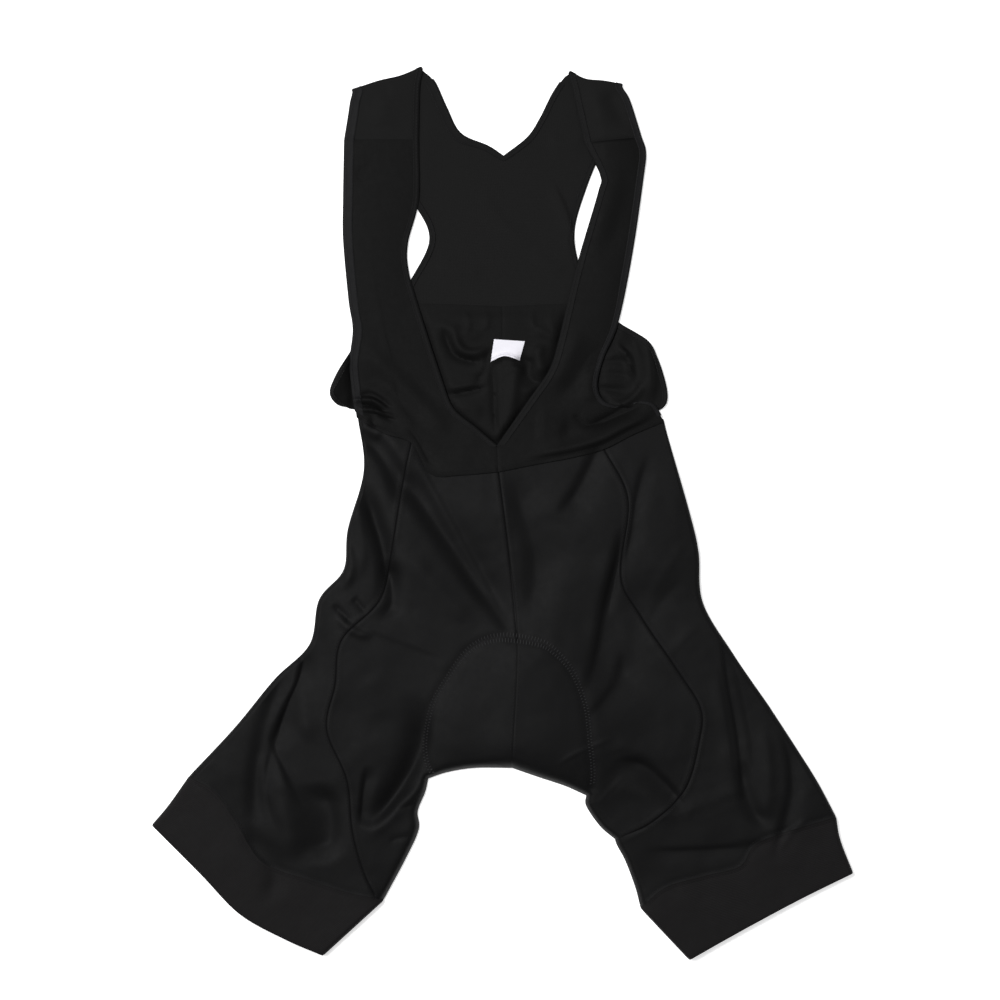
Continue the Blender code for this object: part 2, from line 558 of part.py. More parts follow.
def build():
    clear_scene()
    knit = material("black knit", BLACK_KNIT, 0.75)
    mesh = material("black mesh", BLACK_MESH, 0.85)
    band = material("black gripper band", BLACK_BAND, 0.8)
    hem = material("black hem", BLACK_HEM, 0.7)
    padding = material("grey padding", PAD_GREY, 0.9)
    white = material("white label", LABEL_WHITE, 0.6)

    seam_left = joined((GRIPPER_SEAM_LEFT, LEG_COLUMNS), (GRIPPER_SEAM_LEFT_END, 1))
    seam_right = smooth(GRIPPER_SEAM_RIGHT, LEG_COLUMNS)
    side_left = smooth(SIDE_SEAM_LEFT, LEG_ROWS)
    side_right = joined((SIDE_SEAM_RIGHT, LEG_ROWS),
                        (SIDE_SEAM_RIGHT[-1:] + INNER_LEG_RIGHT_LOW[1:], INNER_EDGE_ROWS))
    side_left[-1] = seam_left[LEG_COLUMNS]
    outer_left = smooth(OUTER_LEFT, LEG_ROWS)
    outer_right = joined((OUTER_RIGHT, LEG_ROWS - 8), (OUTER_RIGHT_LOW, 8 + INNER_EDGE_ROWS))

    front_left = front_panel(SIDE_SEAM_LEFT, CENTRE_FRONT, CROTCH_LEFT,
                             INNER_LEG_LEFT, WAIST_LEFT[2:], (12, 4, 6))
    front_right = front_panel(SIDE_SEAM_RIGHT, CENTRE_FRONT, CROTCH_RIGHT,
                              INNER_LEG_RIGHT, WAIST_RIGHT[2:], (12, 5, 5))
    cloth("front_left", [front_left], KNIT, knit)
    cloth("front_right", [front_right], KNIT, knit)
    cloth("side_left", [side_panel(side_left, outer_left, UNDER_LEFT, WAIST_LEFT[2::-1],
                                   seam_left[:LEG_COLUMNS + 1])], KNIT, knit)
    cloth("side_right", [side_panel(side_right, outer_right, UNDER_RIGHT, WAIST_RIGHT[2::-1],
                                    seam_right)], KNIT, knit)

    back_left = back_panel(BACK_ARM_LEFT, UNDER_LEFT, seam_left, YOKE_WAIST_LEFT,
                           ((CROTCH_LEFT, 4), (INNER_LEG_LEFT, 8)), LEG_ROWS)
    back_right = back_panel(BACK_ARM_RIGHT, UNDER_RIGHT, seam_right, YOKE_WAIST_RIGHT,
                            ((CROTCH_RIGHT, 5), (INNER_LEG_RIGHT, 5), (INNER_LEG_RIGHT_LOW, 6)),
                            LEG_ROWS + INNER_EDGE_ROWS)
    cloth("back_left", [back_left], KNIT, knit)
    cloth("back_right", [back_right], KNIT, knit)

    bib_left = bib_panel(BIB_OUTER_LEFT, BIB_NECK_LEFT, SHOULDER_SEAM_LEFT, WAIST_LEFT)
    bib_right = bib_panel(BIB_OUTER_RIGHT, BIB_NECK_RIGHT, SHOULDER_SEAM_RIGHT, WAIST_RIGHT)
    cloth("bib_front_left", [bib_left], KNIT, knit)
    cloth("bib_front_right", [bib_right], KNIT, knit)

    yoke_left, whole_left, flap_left = yoke_half(
        YOKE_ARM_LEFT, YOKE_NECK_LEFT, YOKE_WAIST_LEFT, SHOULDER_LEFT,
        FLAP_OUTER_LEFT, FLAP_NECK_LEFT, SHOULDER_SEAM_LEFT)
    yoke_right, whole_right, flap_right = yoke_half(
        YOKE_ARM_RIGHT, YOKE_NECK_RIGHT, YOKE_WAIST_RIGHT, SHOULDER_RIGHT,
        FLAP_OUTER_RIGHT, FLAP_NECK_RIGHT, SHOULDER_SEAM_RIGHT)
    cloth("back_yoke", [whole_left, whole_right], YOKE_MESH, mesh)

    cloth("gripper_left", [gripper_band(GRIPPER_OUTER_LEFT, GRIPPER_INNER_LEFT, seam_left, HEM_LEFT)],
          GRIPPER, band, ring=True)
    cloth("gripper_right", [gripper_band(GRIPPER_OUTER_RIGHT, GRIPPER_INNER_RIGHT, seam_right,
                                         HEM_RIGHT)], GRIPPER, band, ring=True)

    for side, flap, bib in (("left", flap_left, bib_left), ("right", flap_right, bib_right)):
        neck = edge_rows(np.concatenate([flap, bib[1:]]), True)
        cloth("neck_hem_" + side, [strip_on(neck, HEM_WIDTH, KNIT)], HEM, hem)
        arm = edge_rows(np.concatenate([flap, bib[1:]]), False)
        cloth("arm_hem_" + side, [strip_on(arm, ARM_HEM_WIDTH, KNIT)], HEM, hem)
    for side, yoke, back in (("left", yoke_left, back_left), ("right", yoke_right, back_right)):
        rows = [row[:4] for row in yoke[-3:0:-1]] + [row[:4] for row in back[:BACK_ARM_ROWS]]
        cloth("back_arm_hem_" + side, [strip_on(np.array(rows), HEM_WIDTH, KNIT)], HEM, hem)
    cloth("back_neck_hem", [strip_on(neck_rows((yoke_left, yoke_right)), HEM_WIDTH, YOKE_MESH)], HEM, hem)

    seat_pad(padding)
    care_label(white)
    centre_pieces()


def centre_pieces():
    """Moves every piece so that the origin is the middle of the underside's box."""
    shapes = bpy.context.evaluated_depsgraph_get()
    pieces = [piece for piece in bpy.data.objects if piece.type == "MESH"]
    points = []
    for piece in pieces:
        mesh = piece.evaluated_get(shapes).data
        flat = np.empty(len(mesh.vertices) * 3)
        mesh.vertices.foreach_get("co", flat)
        points.append(flat.reshape(-1, 3))
    points = np.vstack(points)
    low, high = points.min(axis=0), points.max(axis=0)
    for piece in pieces:
        piece.location = (-(low[0] + high[0]) / 2, -(low[1] + high[1]) / 2, -low[2])


build()
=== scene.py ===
"""Cycling bib shorts laid flat on a pale surface, front up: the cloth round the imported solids.

Frame: metres, +Z up from the surface, +Y towards the shoulders, +X towards the right-hand leg as
it is seen from above. Tables are in millimetres, and MM turns them into metres.

Every panel is a grid [row, column] of middle points. Its plan is a patch between four seams or
edges, and its height is read from one height field for the upper layer, one for the bib over it
and one for the lower layer, so that panels which share a seam meet there. The creases are rows of
fold tables, each with its own height, half widths and path.
"""

import math

import bpy
import numpy as np
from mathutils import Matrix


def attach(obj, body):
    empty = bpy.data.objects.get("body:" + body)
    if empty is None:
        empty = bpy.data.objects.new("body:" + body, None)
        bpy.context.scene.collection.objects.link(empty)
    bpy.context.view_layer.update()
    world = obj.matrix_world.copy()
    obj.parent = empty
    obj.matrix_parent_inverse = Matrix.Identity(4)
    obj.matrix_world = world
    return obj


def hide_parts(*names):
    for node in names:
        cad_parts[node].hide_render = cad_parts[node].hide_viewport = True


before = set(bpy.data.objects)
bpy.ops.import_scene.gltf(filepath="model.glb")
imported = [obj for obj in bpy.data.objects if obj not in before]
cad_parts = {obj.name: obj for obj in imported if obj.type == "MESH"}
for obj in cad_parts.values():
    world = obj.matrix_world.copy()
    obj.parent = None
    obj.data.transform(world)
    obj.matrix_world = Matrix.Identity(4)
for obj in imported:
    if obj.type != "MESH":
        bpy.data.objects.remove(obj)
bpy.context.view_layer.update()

MM = 0.001
SIDES = ("left", "right")

# walls of cloth
KNIT = 1.2
YOKE_MESH = 1.0
GRIPPER = 1.6
HEM = 0.5
LABEL = 0.6
THREAD = 0.22
COVER_THREAD = 0.46

# stitches: pitch, the share of it that a stitch is long, height over the cloth, distance of twin
# rows from a side seam and from the centre front; pitch and reach of the cover stitch's rungs
STITCH_PITCH = 3.0
STITCH_SHARE = 0.72
STITCH_LIFT = 0.12
SEAM_TWIN = 2.6
CENTRE_TWIN = 2.2
COVER_PITCH = 2.9
RUNG = 2.5
LONGEST_RUNG = 4.9

# how pieces meet: points of one piece this near (in metres) are one, seams lap a little, layers
# lie apart
WELD = 2e-6
SEAM_LAP = 0.12
LAYER_GAP = 0.35

# the height of the cloth's middle over the surface
FLOOR = KNIT / 2
BIB_LEVEL = 2.2
SHORTS_LEVEL = 11.0
SHORTS_START = 128.0
SHORTS_FULL = -8.0
EDGE_LEVEL = 2.2
BIB_LIFT = 2.1
PAD_RISE = 5.0
PAD_GAP = 0.9
PAD_RIM = 1.4
PAD_CHANNEL = 0.9
PAD_CHANNEL_SHARES = (0.36, 0.64)

# the bib's straps, and the rise of the fronts over the pad
STRAP_START = 150.0
STRAP_FULL = 235.0
BIB_FLOOR = 3.1
STRAP_DROP = 1.9
STRAP_FLOOR_DROP = 0.8
STRAP_CROWN = 1.5
PAD_RISE_CENTRE = (22.0, -212.0)
PAD_RISE_REACH = (86.0, 90.0)

# folds: reach in half widths, the half width under which a trough is a sharp line, the powers of
# the two kinds of bell, and the share of a path that each end takes to fade
FOLD_REACH = 3.2
NARROW = 5.5
SHARP_POWER = 1.35
ROUND_POWER = 2.0
END_FADE = 0.28

# turned edges and trim
SIDE_ROLL = 4.5
GRIPPER_ROLL = 3.0
SHOULDER_ROLL = 2.2
NECK_HEM = {"left": 4.6, "right": 5.4}
ARM_HEM = {"left": (8.5, 8.5, 8.5, 8.0, 7.0), "right": (5.5, 6.0, 6.0, 3.6, 3.0)}
BACK_NECK_HEM = (8.5, 8.0, 4.5, 4.5, 4.5)
BACK_ARM_HEM = (5.0, 5.0, 4.5, 4.0)
HEM_WELT = 0.16
HEM_WELT_SHARES = (0.14, 0.86)
HEM_INSET = 0.2
HEM_OUTSET = 0.9
LAP = 3.0
CLOSED_TUCK = 1.5
TRIM_GAP = 0.05
ROLL_STEPS = 12
SIDE_FADE = 6

# rows and columns of the grids
LEG_ROWS = 220
INNER_EDGE_ROWS = 40
CORNER_ROWS = 6
LOW_EDGE_ROWS = 80
SIDE_COLUMNS = 76
FRONT_ROWS = {"left": (120, 40, 60), "right": (120, 50, 50)}
FRONT_COLUMNS = 84
UNDER_COLUMNS = 14
BIB_ROWS = 190
BIB_COLUMNS = 50
BIB_CENTRE_ROWS = 10
YOKE_CENTRE_ROWS = 66
YOKE_NECK_ROWS = 50
FLAP_ROWS = 28
BACK_ARM_ROWS = 64
CENTRE_BACK_ROWS = (60, 100)
GRIPPER_ROWS = 30
GRIPPER_COLUMNS = (70, 10)
HEM_COLUMNS = 11
HEM_STITCH_COLUMNS = (4, 11)
LABEL_ROWS = 60
LABEL_COLUMNS = 28
PAD_ROWS = 60
PAD_COLUMNS = 60
UNDER_SHARE = 2 / 7

# seams and edges in plan, (x, y), each from its upper end or from the outer side inwards; left
# and right are as seen from above
SIDE_SEAM = {
    "left": ((-85, 67), (-93, 30), (-104, -36), (-115, -83), (-151, -121), (-157, -163),
             (-165, -205), (-146, -252), (-141, -299), (-131, -337), (-120, -360)),
    "right": ((94, 61), (118, 11), (111, -60), (129, -97), (164, -149), (186, -185), (185, -215),
              (172, -260), (143, -290), (113, -306)),
}
OUTER_EDGE = {
    "left": ((-136, 91), (-130, 39), (-145, -17), (-149, -55), (-172, -83), (-181, -125),
             (-214, -158), (-251, -203), (-294, -249)),
    "right": ((151, 87), (156, 67), (176, -3), (184, -39), (188, -86), (217, -135), (250, -183)),
}
OUTER_RIGHT_LOW = ((250, -183), (276, -223), (296, -255), (313, -287))
CENTRE_FRONT = ((-4, 40), (5, -31), (14, -121), (9, -241))
CROTCH = {
    "left": ((9, -241), (-26, -241), (-52, -245), (-70, -251)),
    "right": ((9, -241), (32, -249), (59, -258), (79, -267)),
}
INNER_LEG = {
    "left": ((-70, -251), (-73, -264), (-80, -282), (-79, -299), (-91, -326), (-112, -365)),
    "right": ((79, -267), (79, -277), (92, -296), (106, -308)),
}
INNER_LEG_RIGHT_LOW = ((106, -308), (108, -314), (116, -329), (125, -353), (130, -372))
GRIPPER_SEAM = {
    "left": ((-294, -249), (-270, -264), (-250, -292), (-226, -329), (-181, -346), (-148, -357),
             (-120, -363)),
    "right": ((313, -287), (266, -301), (237, -313), (223, -333), (190, -342), (153, -353),
              (130, -372)),
}
GRIPPER_SEAM_LEFT_END = ((-120, -363), (-112, -365))
GRIPPER_OUTER = {
    "left": ((-294, -249), (-313, -276), (-329, -295)),
    "right": ((313, -287), (317, -309), (329, -340)),
}
GRIPPER_INNER = {
    "left": ((-112, -365), (-134, -385), (-169, -417)),
    "right": ((130, -372), (143, -386), (176, -421)),
}
LEG_HEM = {
    "left": ((-329, -295), (-284, -340), (-247, -378), (-204, -402), (-169, -417)),
    "right": ((329, -340), (280, -364), (233, -389), (176, -421)),
}
WAIST = {
    "left": ((-136, 91), (-110, 76), (-85, 67), (-67, 38), (-38, 37), (-4, 40)),
    "right": ((151, 87), (122, 75), (94, 61), (63, 53), (31, 47), (-4, 40)),
}
BIB_OUTER = {
    "left": ((-148, 350), (-149, 293), (-149, 255), (-144, 199), (-140, 171), (-143, 141),
             (-141, 116), (-137, 92)),
    "right": ((130, 352), (134, 338), (132, 316), (121, 241), (108, 178), (94, 144), (88, 119),
              (94, 104), (110, 99), (127, 103), (141, 101), (151, 88)),
}
BIB_NECK = {
    "left": ((-80, 350), (-80, 293), (-90, 252), (-89, 225), (-79, 189), (-58, 124), (-47, 97),
             (-26, 79), (-5, 61)),
    "right": ((78, 347), (93, 316), (91, 300), (75, 246), (65, 208), (54, 161), (45, 133),
              (26, 105), (-5, 61)),
}
SHOULDER = {
    "left": ((-141, 397), (-117, 405), (-96, 410), (-77, 418)),
    "right": ((112, 402), (96, 405), (78, 407), (64, 414)),
}
FLAP_OUTER = {
    "left": ((-141, 397), (-144, 375), (-148, 350)),
    "right": ((112, 402), (120, 384), (130, 352)),
}
FLAP_NECK = {
    "left": ((-77, 418), (-79, 396), (-80, 350)),
    "right": ((64, 414), (68, 392), (78, 347)),
}
SHOULDER_SEAM = {
    "left": ((-148, 350), (-80, 350)),
    "right": ((130, 352), (78, 347)),
}
YOKE_ARM = {
    "left": ((-98, 196), (-86, 217), (-68, 255), (-80, 286), (-108, 321), (-134, 359), (-141, 397)),
    "right": ((84, 196), (71, 233), (67, 265), (78, 304), (93, 340), (112, 373), (112, 402)),
}
YOKE_CENTRE = ((0, 193), (1, 334))
YOKE_NECK = {
    "left": ((1, 334), (-14, 344), (-40, 356), (-53, 380), (-65, 406), (-77, 418)),
    "right": ((1, 334), (24, 352), (36, 370), (47, 392), (58, 409), (64, 414)),
}
YOKE_WAIST = {
    "left": ((-98, 196), (-49, 195), (0, 193)),
    "right": ((84, 196), (45, 195), (0, 193)),
}
BACK_ARM = {
    "left": ((-98, 196), (-120, 175), (-141, 152), (-157, 125), (-161, 110), (-153, 100),
             (-138, 97), (-126, 95)),
    "right": ((84, 196), (108, 178), (135, 161), (145, 144), (153, 119), (154, 104), (149, 97),
              (141, 94)),
}
LEFT_LOOP_START = -141
CENTRE_BACK_HIGH = ((0, 193), (0, 90))
CENTRE_BACK_LOW = ((0, 90), (0, 20), (2, -83), (9, -241))
UNDER_SEAM = {
    "left": ((-126, 95), (-112, 40), (-120, -17), (-120, -60), (-132, -92), (-142, -128),
             (-174, -180), (-212, -246), (-251, -290)),
    "right": ((141, 94), (138, 60), (150, 0), (156, -42), (160, -92), (184, -146), (222, -216),
              (257, -303)),
}

# the closed edges that a back ends at, each with its rows
CLOSED_STRETCHES = {
    "left": ((CROTCH["left"], 30), (INNER_LEG["left"], 50)),
    "right": ((CROTCH["right"], 36), (INNER_LEG["right"], 30), (INNER_LEG_RIGHT_LOW, 30)),
}

# the seat pad, its stitching through the fronts, and the label
PAD_LEFT = ((-26, -126), (-54, -160), (-68, -196), (-63, -233))
PAD_RIGHT = ((31, -123), (56, -138), (77, -180), (76, -246))
PAD_TOP = ((-26, -126), (2, -119), (31, -123))
PAD_LOW = ((-63, -233), (-26, -231), (9, -231), (42, -240), (76, -246))
PAD_STITCH = ((-66, -246), (-71, -236), (-73, -219), (-70, -196), (-64, -177), (-54, -160),
              (-38, -137), (-26, -126), (-12, -120), (1, -118), (14, -119), (31, -122),
              (45, -128), (65, -149), (78, -182), (82, -214), (85, -243), (84, -259))
LABEL_TOP = ((-8, 162), (21, 160))
LABEL_LOW = ((-11, 141), (2, 146), (16, 142))
LABEL_STEP = 0.9
LABEL_STEP_SHARES = (0.865, 0.835)

# folds: name, height (below 0 a trough), half width on the left and on the right of the path as
# it is walked, path
UPPER_FOLDS = (
    ("left front trough", -6.6, 22, 10.5, ((-110, 63), (-93, 35), (-74, 7), (-51, -25), (-33, -49),
      (-17, -71), (-2, -91), (13, -115))),
    ("left front low ridge", 1.4, 9, 10, ((-98, -30), (-70, -62), (-44, -92), (-20, -108))),
    ("left hip arc", -3.4, 13, 7, ((-138, 77), (-121, 62), (-108, 43), (-99, 22), (-96, 1))),
    ("left hip light", 2.0, 8, 7, ((-124, 84), (-102, 62), (-90, 40), (-86, 14))),
    ("left side trough", -6.2, 9, 6.5, ((-132, 33), (-124, 3), (-115, -26), (-110, -50),
      (-110, -74), (-119, -93))),
    ("left side ridge", 1.4, 6, 7, ((-138, 16), (-134, -13), (-132, -41), (-136, -69))),
    ("left hip pocket", -3.8, 9, 5.5, ((-109, -42), (-103, -67), (-104, -87), (-113, -106))),
    ("left hip nick", -1.8, 2.5, 3.5, ((-141, -80), (-127, -96))),
    ("left hip lower nick", -1.8, 2.5, 3.5, ((-160, -86), (-140, -106))),
    ("left hip seam ridge", 1.8, 4, 4, ((-158, -96), (-140, -112), (-120, -118))),
    ("left pull line", 0.7, 10, 3, ((-153, -94), (-121, -111), (-87, -124), (-47, -138))),
    ("centre trough", -3.6, 20, 11, ((7, 47), (20, 1), (30, -34), (31, -68), (26, -111))),
    ("right hip crease", -3.4, 14, 4.5, ((95, 69), (80, 39), (69, 18), (52, -6))),
    ("right side trough", -4.8, 28, 4.8, ((116, -6), (108, -46), (99, -83), (93, -117), (87, -145),
      (76, -181))),
    ("right seam line", -1.8, 9, 3, ((140, 58), (130, 30), (124, 1), (120, -27), (114, -55))),
    ("right thigh crease", -2.0, 13, 4, ((116, -128), (108, -159), (96, -177), (80, -198))),
    ("left leg line", -4.2, 18, 2.9, ((-183, -121), (-191, -158), (-201, -181), (-209, -204),
      (-214, -226))),
    ("left leg trough", -2.5, 26, 3.2, ((-200, -168), (-211, -204), (-214, -219), (-205, -240),
      (-195, -262), (-185, -282))),
    ("left leg ridge", 2.0, 6, 7, ((-214, -176), (-221, -208), (-224, -243), (-220, -271),
      (-214, -296))),
    ("left knee ridge", 1.6, 9, 9, ((-188, -151), (-188, -182), (-183, -219))),
    ("left outer trough", -4.4, 14, 8.5, ((-190, -123), (-206, -157), (-216, -182), (-223, -213),
      (-229, -241), (-232, -271), (-233, -298), (-231, -318))),
    ("trough beside the pad", -6.8, 7, 12, ((-74, -172), (-76, -213), (-83, -236), (-94, -257),
      (-108, -277), (-130, -307))),
    ("trough beside the pad, deep end", -1.0, 4, 7, ((-83, -235), (-96, -257), (-110, -277),
      (-128, -301))),
    ("tongue", 2.4, 5.5, 6, ((-141, -296), (-123, -298), (-108, -287), (-93, -273), (-66, -251))),
    ("left inner line", -3.0, 8, 2.8, ((-126, -237), (-130, -260), (-132, -281), (-133, -298))),
    ("left thigh light", 1.2, 14, 14, ((-128, -150), (-120, -178), (-112, -200))),
    ("inner wrinkle one", -1.0, 2.4, 3, ((-76, -272), (-88, -276), (-102, -282))),
    ("inner wrinkle three", -0.8, 2.4, 3, ((-82, -306), (-94, -306), (-108, -310))),
    ("right leg trough", -3.8, 5, 11, ((97, -240), (112, -235), (130, -238), (146, -250),
      (161, -266), (176, -285))),
    ("right leg trough ridge", 0.8, 8, 5, ((95, -222), (120, -221), (144, -230), (162, -244))),
    ("right leg low ridge", 0.8, 7, 7, ((100, -256), (124, -262), (146, -272))),
    ("right leg line", -2.4, 10, 2, ((204, -94), (211, -158), (219, -201), (224, -243),
      (227, -282))),
    ("right leg line ridge", 1.2, 4, 8, ((198, -140), (206, -180), (212, -221), (215, -258))),
    ("right leg hook", -3.6, 8, 6, ((223, -232), (228, -262), (235, -282), (251, -301))),
    ("right upper line", -1.5, 14, 5, ((210, -106), (219, -143), (228, -181), (235, -219),
      (240, -271))),
    ("right outer line", -2.8, 11, 3.4, ((263, -205), (270, -235), (271, -262), (266, -285),
      (259, -313), (253, -333))),
    ("right outer ridge", 1.2, 5, 7, ((244, -200), (250, -236), (250, -268), (246, -296))),
    ("right knee light", 0.8, 8, 6, ((129, -292), (186, -275), (240, -252))),
    ("right band crease", -1.4, 3, 9, ((129, -320), (186, -318), (223, -315), (266, -308))),
    ("left pinhole", -3.0, 2.5, 2.5, ((-122, 90), (-121, 79))),
    ("left waist light", 1.6, 5, 4, ((-134, 84), (-124, 76), (-112, 70))),
    ("left front crease", 2.0, 4.5, 7, ((-98, 78), (-73, 31), (-52, -7), (-32, -44), (-12, -80),
      (9, -117))),
    ("right side slope", -4.0, 44, 22, ((141, -46), (134, -94), (129, -130), (122, -188))),
    ("left leg second line", -1.4, 5, 2.2, ((-216, -217), (-221, -243), (-221, -268),
      (-216, -299))),
    ("right corner ridge", 1.3, 2.5, 3.5, ((258, -322), (270, -302), (286, -288))),
    ("left low ridge", 0.7, 3, 4, ((-190, -326), (-166, -318), (-146, -306))),
    ("pad roof", 3.4, 90, 32, ((14, -94), (14, -158), (13, -205), (12, -262))),
    ("left hip bright fold", 2.0, 5, 5, ((-150, -24), (-142, -48), (-148, -76))),
    ("right side pull one", 0.4, 5, 6, ((178, -20), (156, -52), (132, -92))),
    ("right side pull two", -0.4, 6, 4, ((172, -60), (150, -84), (134, -112))),
    ("right side pull three", 0.4, 4, 6, ((186, -104), (172, -118), (150, -140))),
    ("left knee light", 3.0, 14, 10, ((-215, -235), (-207, -269), (-200, -298), (-194, -331))),
    ("pad pull one", 0.45, 2.4, 2.4, ((48, -240), (68, -227), (92, -217), (107, -208))),
    ("pad pull two", 0.25, 2.2, 2.2, ((88, -276), (102, -260), (116, -246))),
    ("left band fold", -3.2, 12, 9, ((-240, -292), (-232, -312), (-220, -325), (-214, -339),
      (-215, -356), (-220, -373))),
    ("left front trough, low end", -1.8, 14, 6.5, ((-51, -34), (-31, -63), (-12, -86), (3, -106),
      (22, -132))),
    ("right side pocket", -2.0, 3.6, 4.5, ((111, -17), (109, -46), (104, -72), (97, -104))),
    ("left leg hollow", -6.2, 11, 20, ((-177, -253), (-166, -274), (-163, -299), (-169, -333))),
)

BIB_FOLDS = (
    ("left high diagonal", -1.0, 8, 10, ((-136, 178), (-108, 152), (-84, 128), (-62, 104),
      (-46, 88))),
    ("left diagonal ridge", 1.3, 9, 8, ((-138, 160), (-110, 134), (-84, 108), (-60, 84),
      (-44, 68))),
    ("left low diagonal", -1.2, 8, 8, ((-134, 138), (-112, 118), (-90, 96), (-70, 72))),
    ("left low ridge", 0.9, 7, 6, ((-126, 124), (-104, 104), (-88, 86), (-76, 64))),
    ("left arm sliver", -3.4, 2.2, 2.6, ((-138, 108), (-124, 110), (-112, 103), (-102, 94))),
    ("left arm ridge", 2.6, 1.9, 2, ((-146, 103), (-134, 105), (-120, 104), (-106, 94))),
    ("left arm line", -2.4, 1.6, 1.7, ((-138, 100), (-122, 99), (-106, 91))),
    ("left arm low ridge", 2.0, 1.7, 1.8, ((-138, 96), (-120, 95), (-100, 88))),
    ("left arm low line", -2.0, 1.6, 1.8, ((-136, 92), (-118, 91), (-98, 84))),
    ("bib hang line", -1.8, 3, 4.5, ((-88, 80), (-78, 62), (-70, 48), (-62, 40))),
    ("waist roll", 3.6, 4, 10, ((148, 108), (140, 95), (127, 85), (112, 77.5), (94, 67.5), (70, 58),
      (42, 51), (14, 45))),
    ("waist wedge", -4.6, 4, 5, ((74, 78), (96, 86), (114, 95), (128, 105), (137, 116))),
    ("right strap shade", -1.2, 9, 8, ((98, 166), (88, 148), (72, 126), (56, 108), (38, 98))),
    ("right strap light", 1.3, 8, 8, ((76, 176), (64, 150), (54, 130), (44, 114))),
    ("right armhole light", 1.6, 7, 8, ((84, 138), (80, 118), (84, 100))),
    ("right arm nick", -1.6, 2.5, 3, ((66, 92), (76, 84), (84, 78))),
    ("left strap crease", -1.0, 1.8, 2.2, ((-142, 267), (-122, 266), (-102, 267))),
    ("left strap fold line", -1.4, 5, 3, ((-101, 282), (-103, 262), (-104, 236), (-101, 206))),
    ("left strap shade", -1.6, 12, 12, ((-96, 326), (-98, 300), (-100, 276))),
    ("left shoulder light", 1.4, 12, 12, ((-112, 396), (-114, 376), (-116, 360))),
    ("left shoulder shade", -1.4, 9, 9, ((-104, 402), (-124, 392), (-138, 384))),
    ("left strap pull", -1.2, 6, 8, ((-140, 312), (-120, 322), (-104, 336))),
    ("right shoulder light", 0.9, 8, 8, ((84, 400), (90, 380), (96, 362))),
    ("right shoulder shade", -2.0, 8, 9, ((98, 398), (108, 376), (118, 358))),
    ("right strap long shade", -1.4, 10, 10, ((120, 334), (116, 300), (106, 262), (98, 232))),
    ("right bib light", 2.4, 12, 14, ((30, 82), (45, 78), (62, 78))),
    ("left cross seam", -1.3, 1.2, 1.4, ((-150, 350), (-114, 350), (-78, 350))),
    ("right cross seam", -1.3, 1.2, 1.4, ((132, 352), (104, 350), (76, 347))),
    ("left low strap shade", -1.6, 14, 14, ((-128, 232), (-120, 208), (-108, 190))),
    ("right shoulder rise", 3.0, 30, 12, ((80, 424), (92, 383), (98, 340), (97, 293), (90, 235))),
)

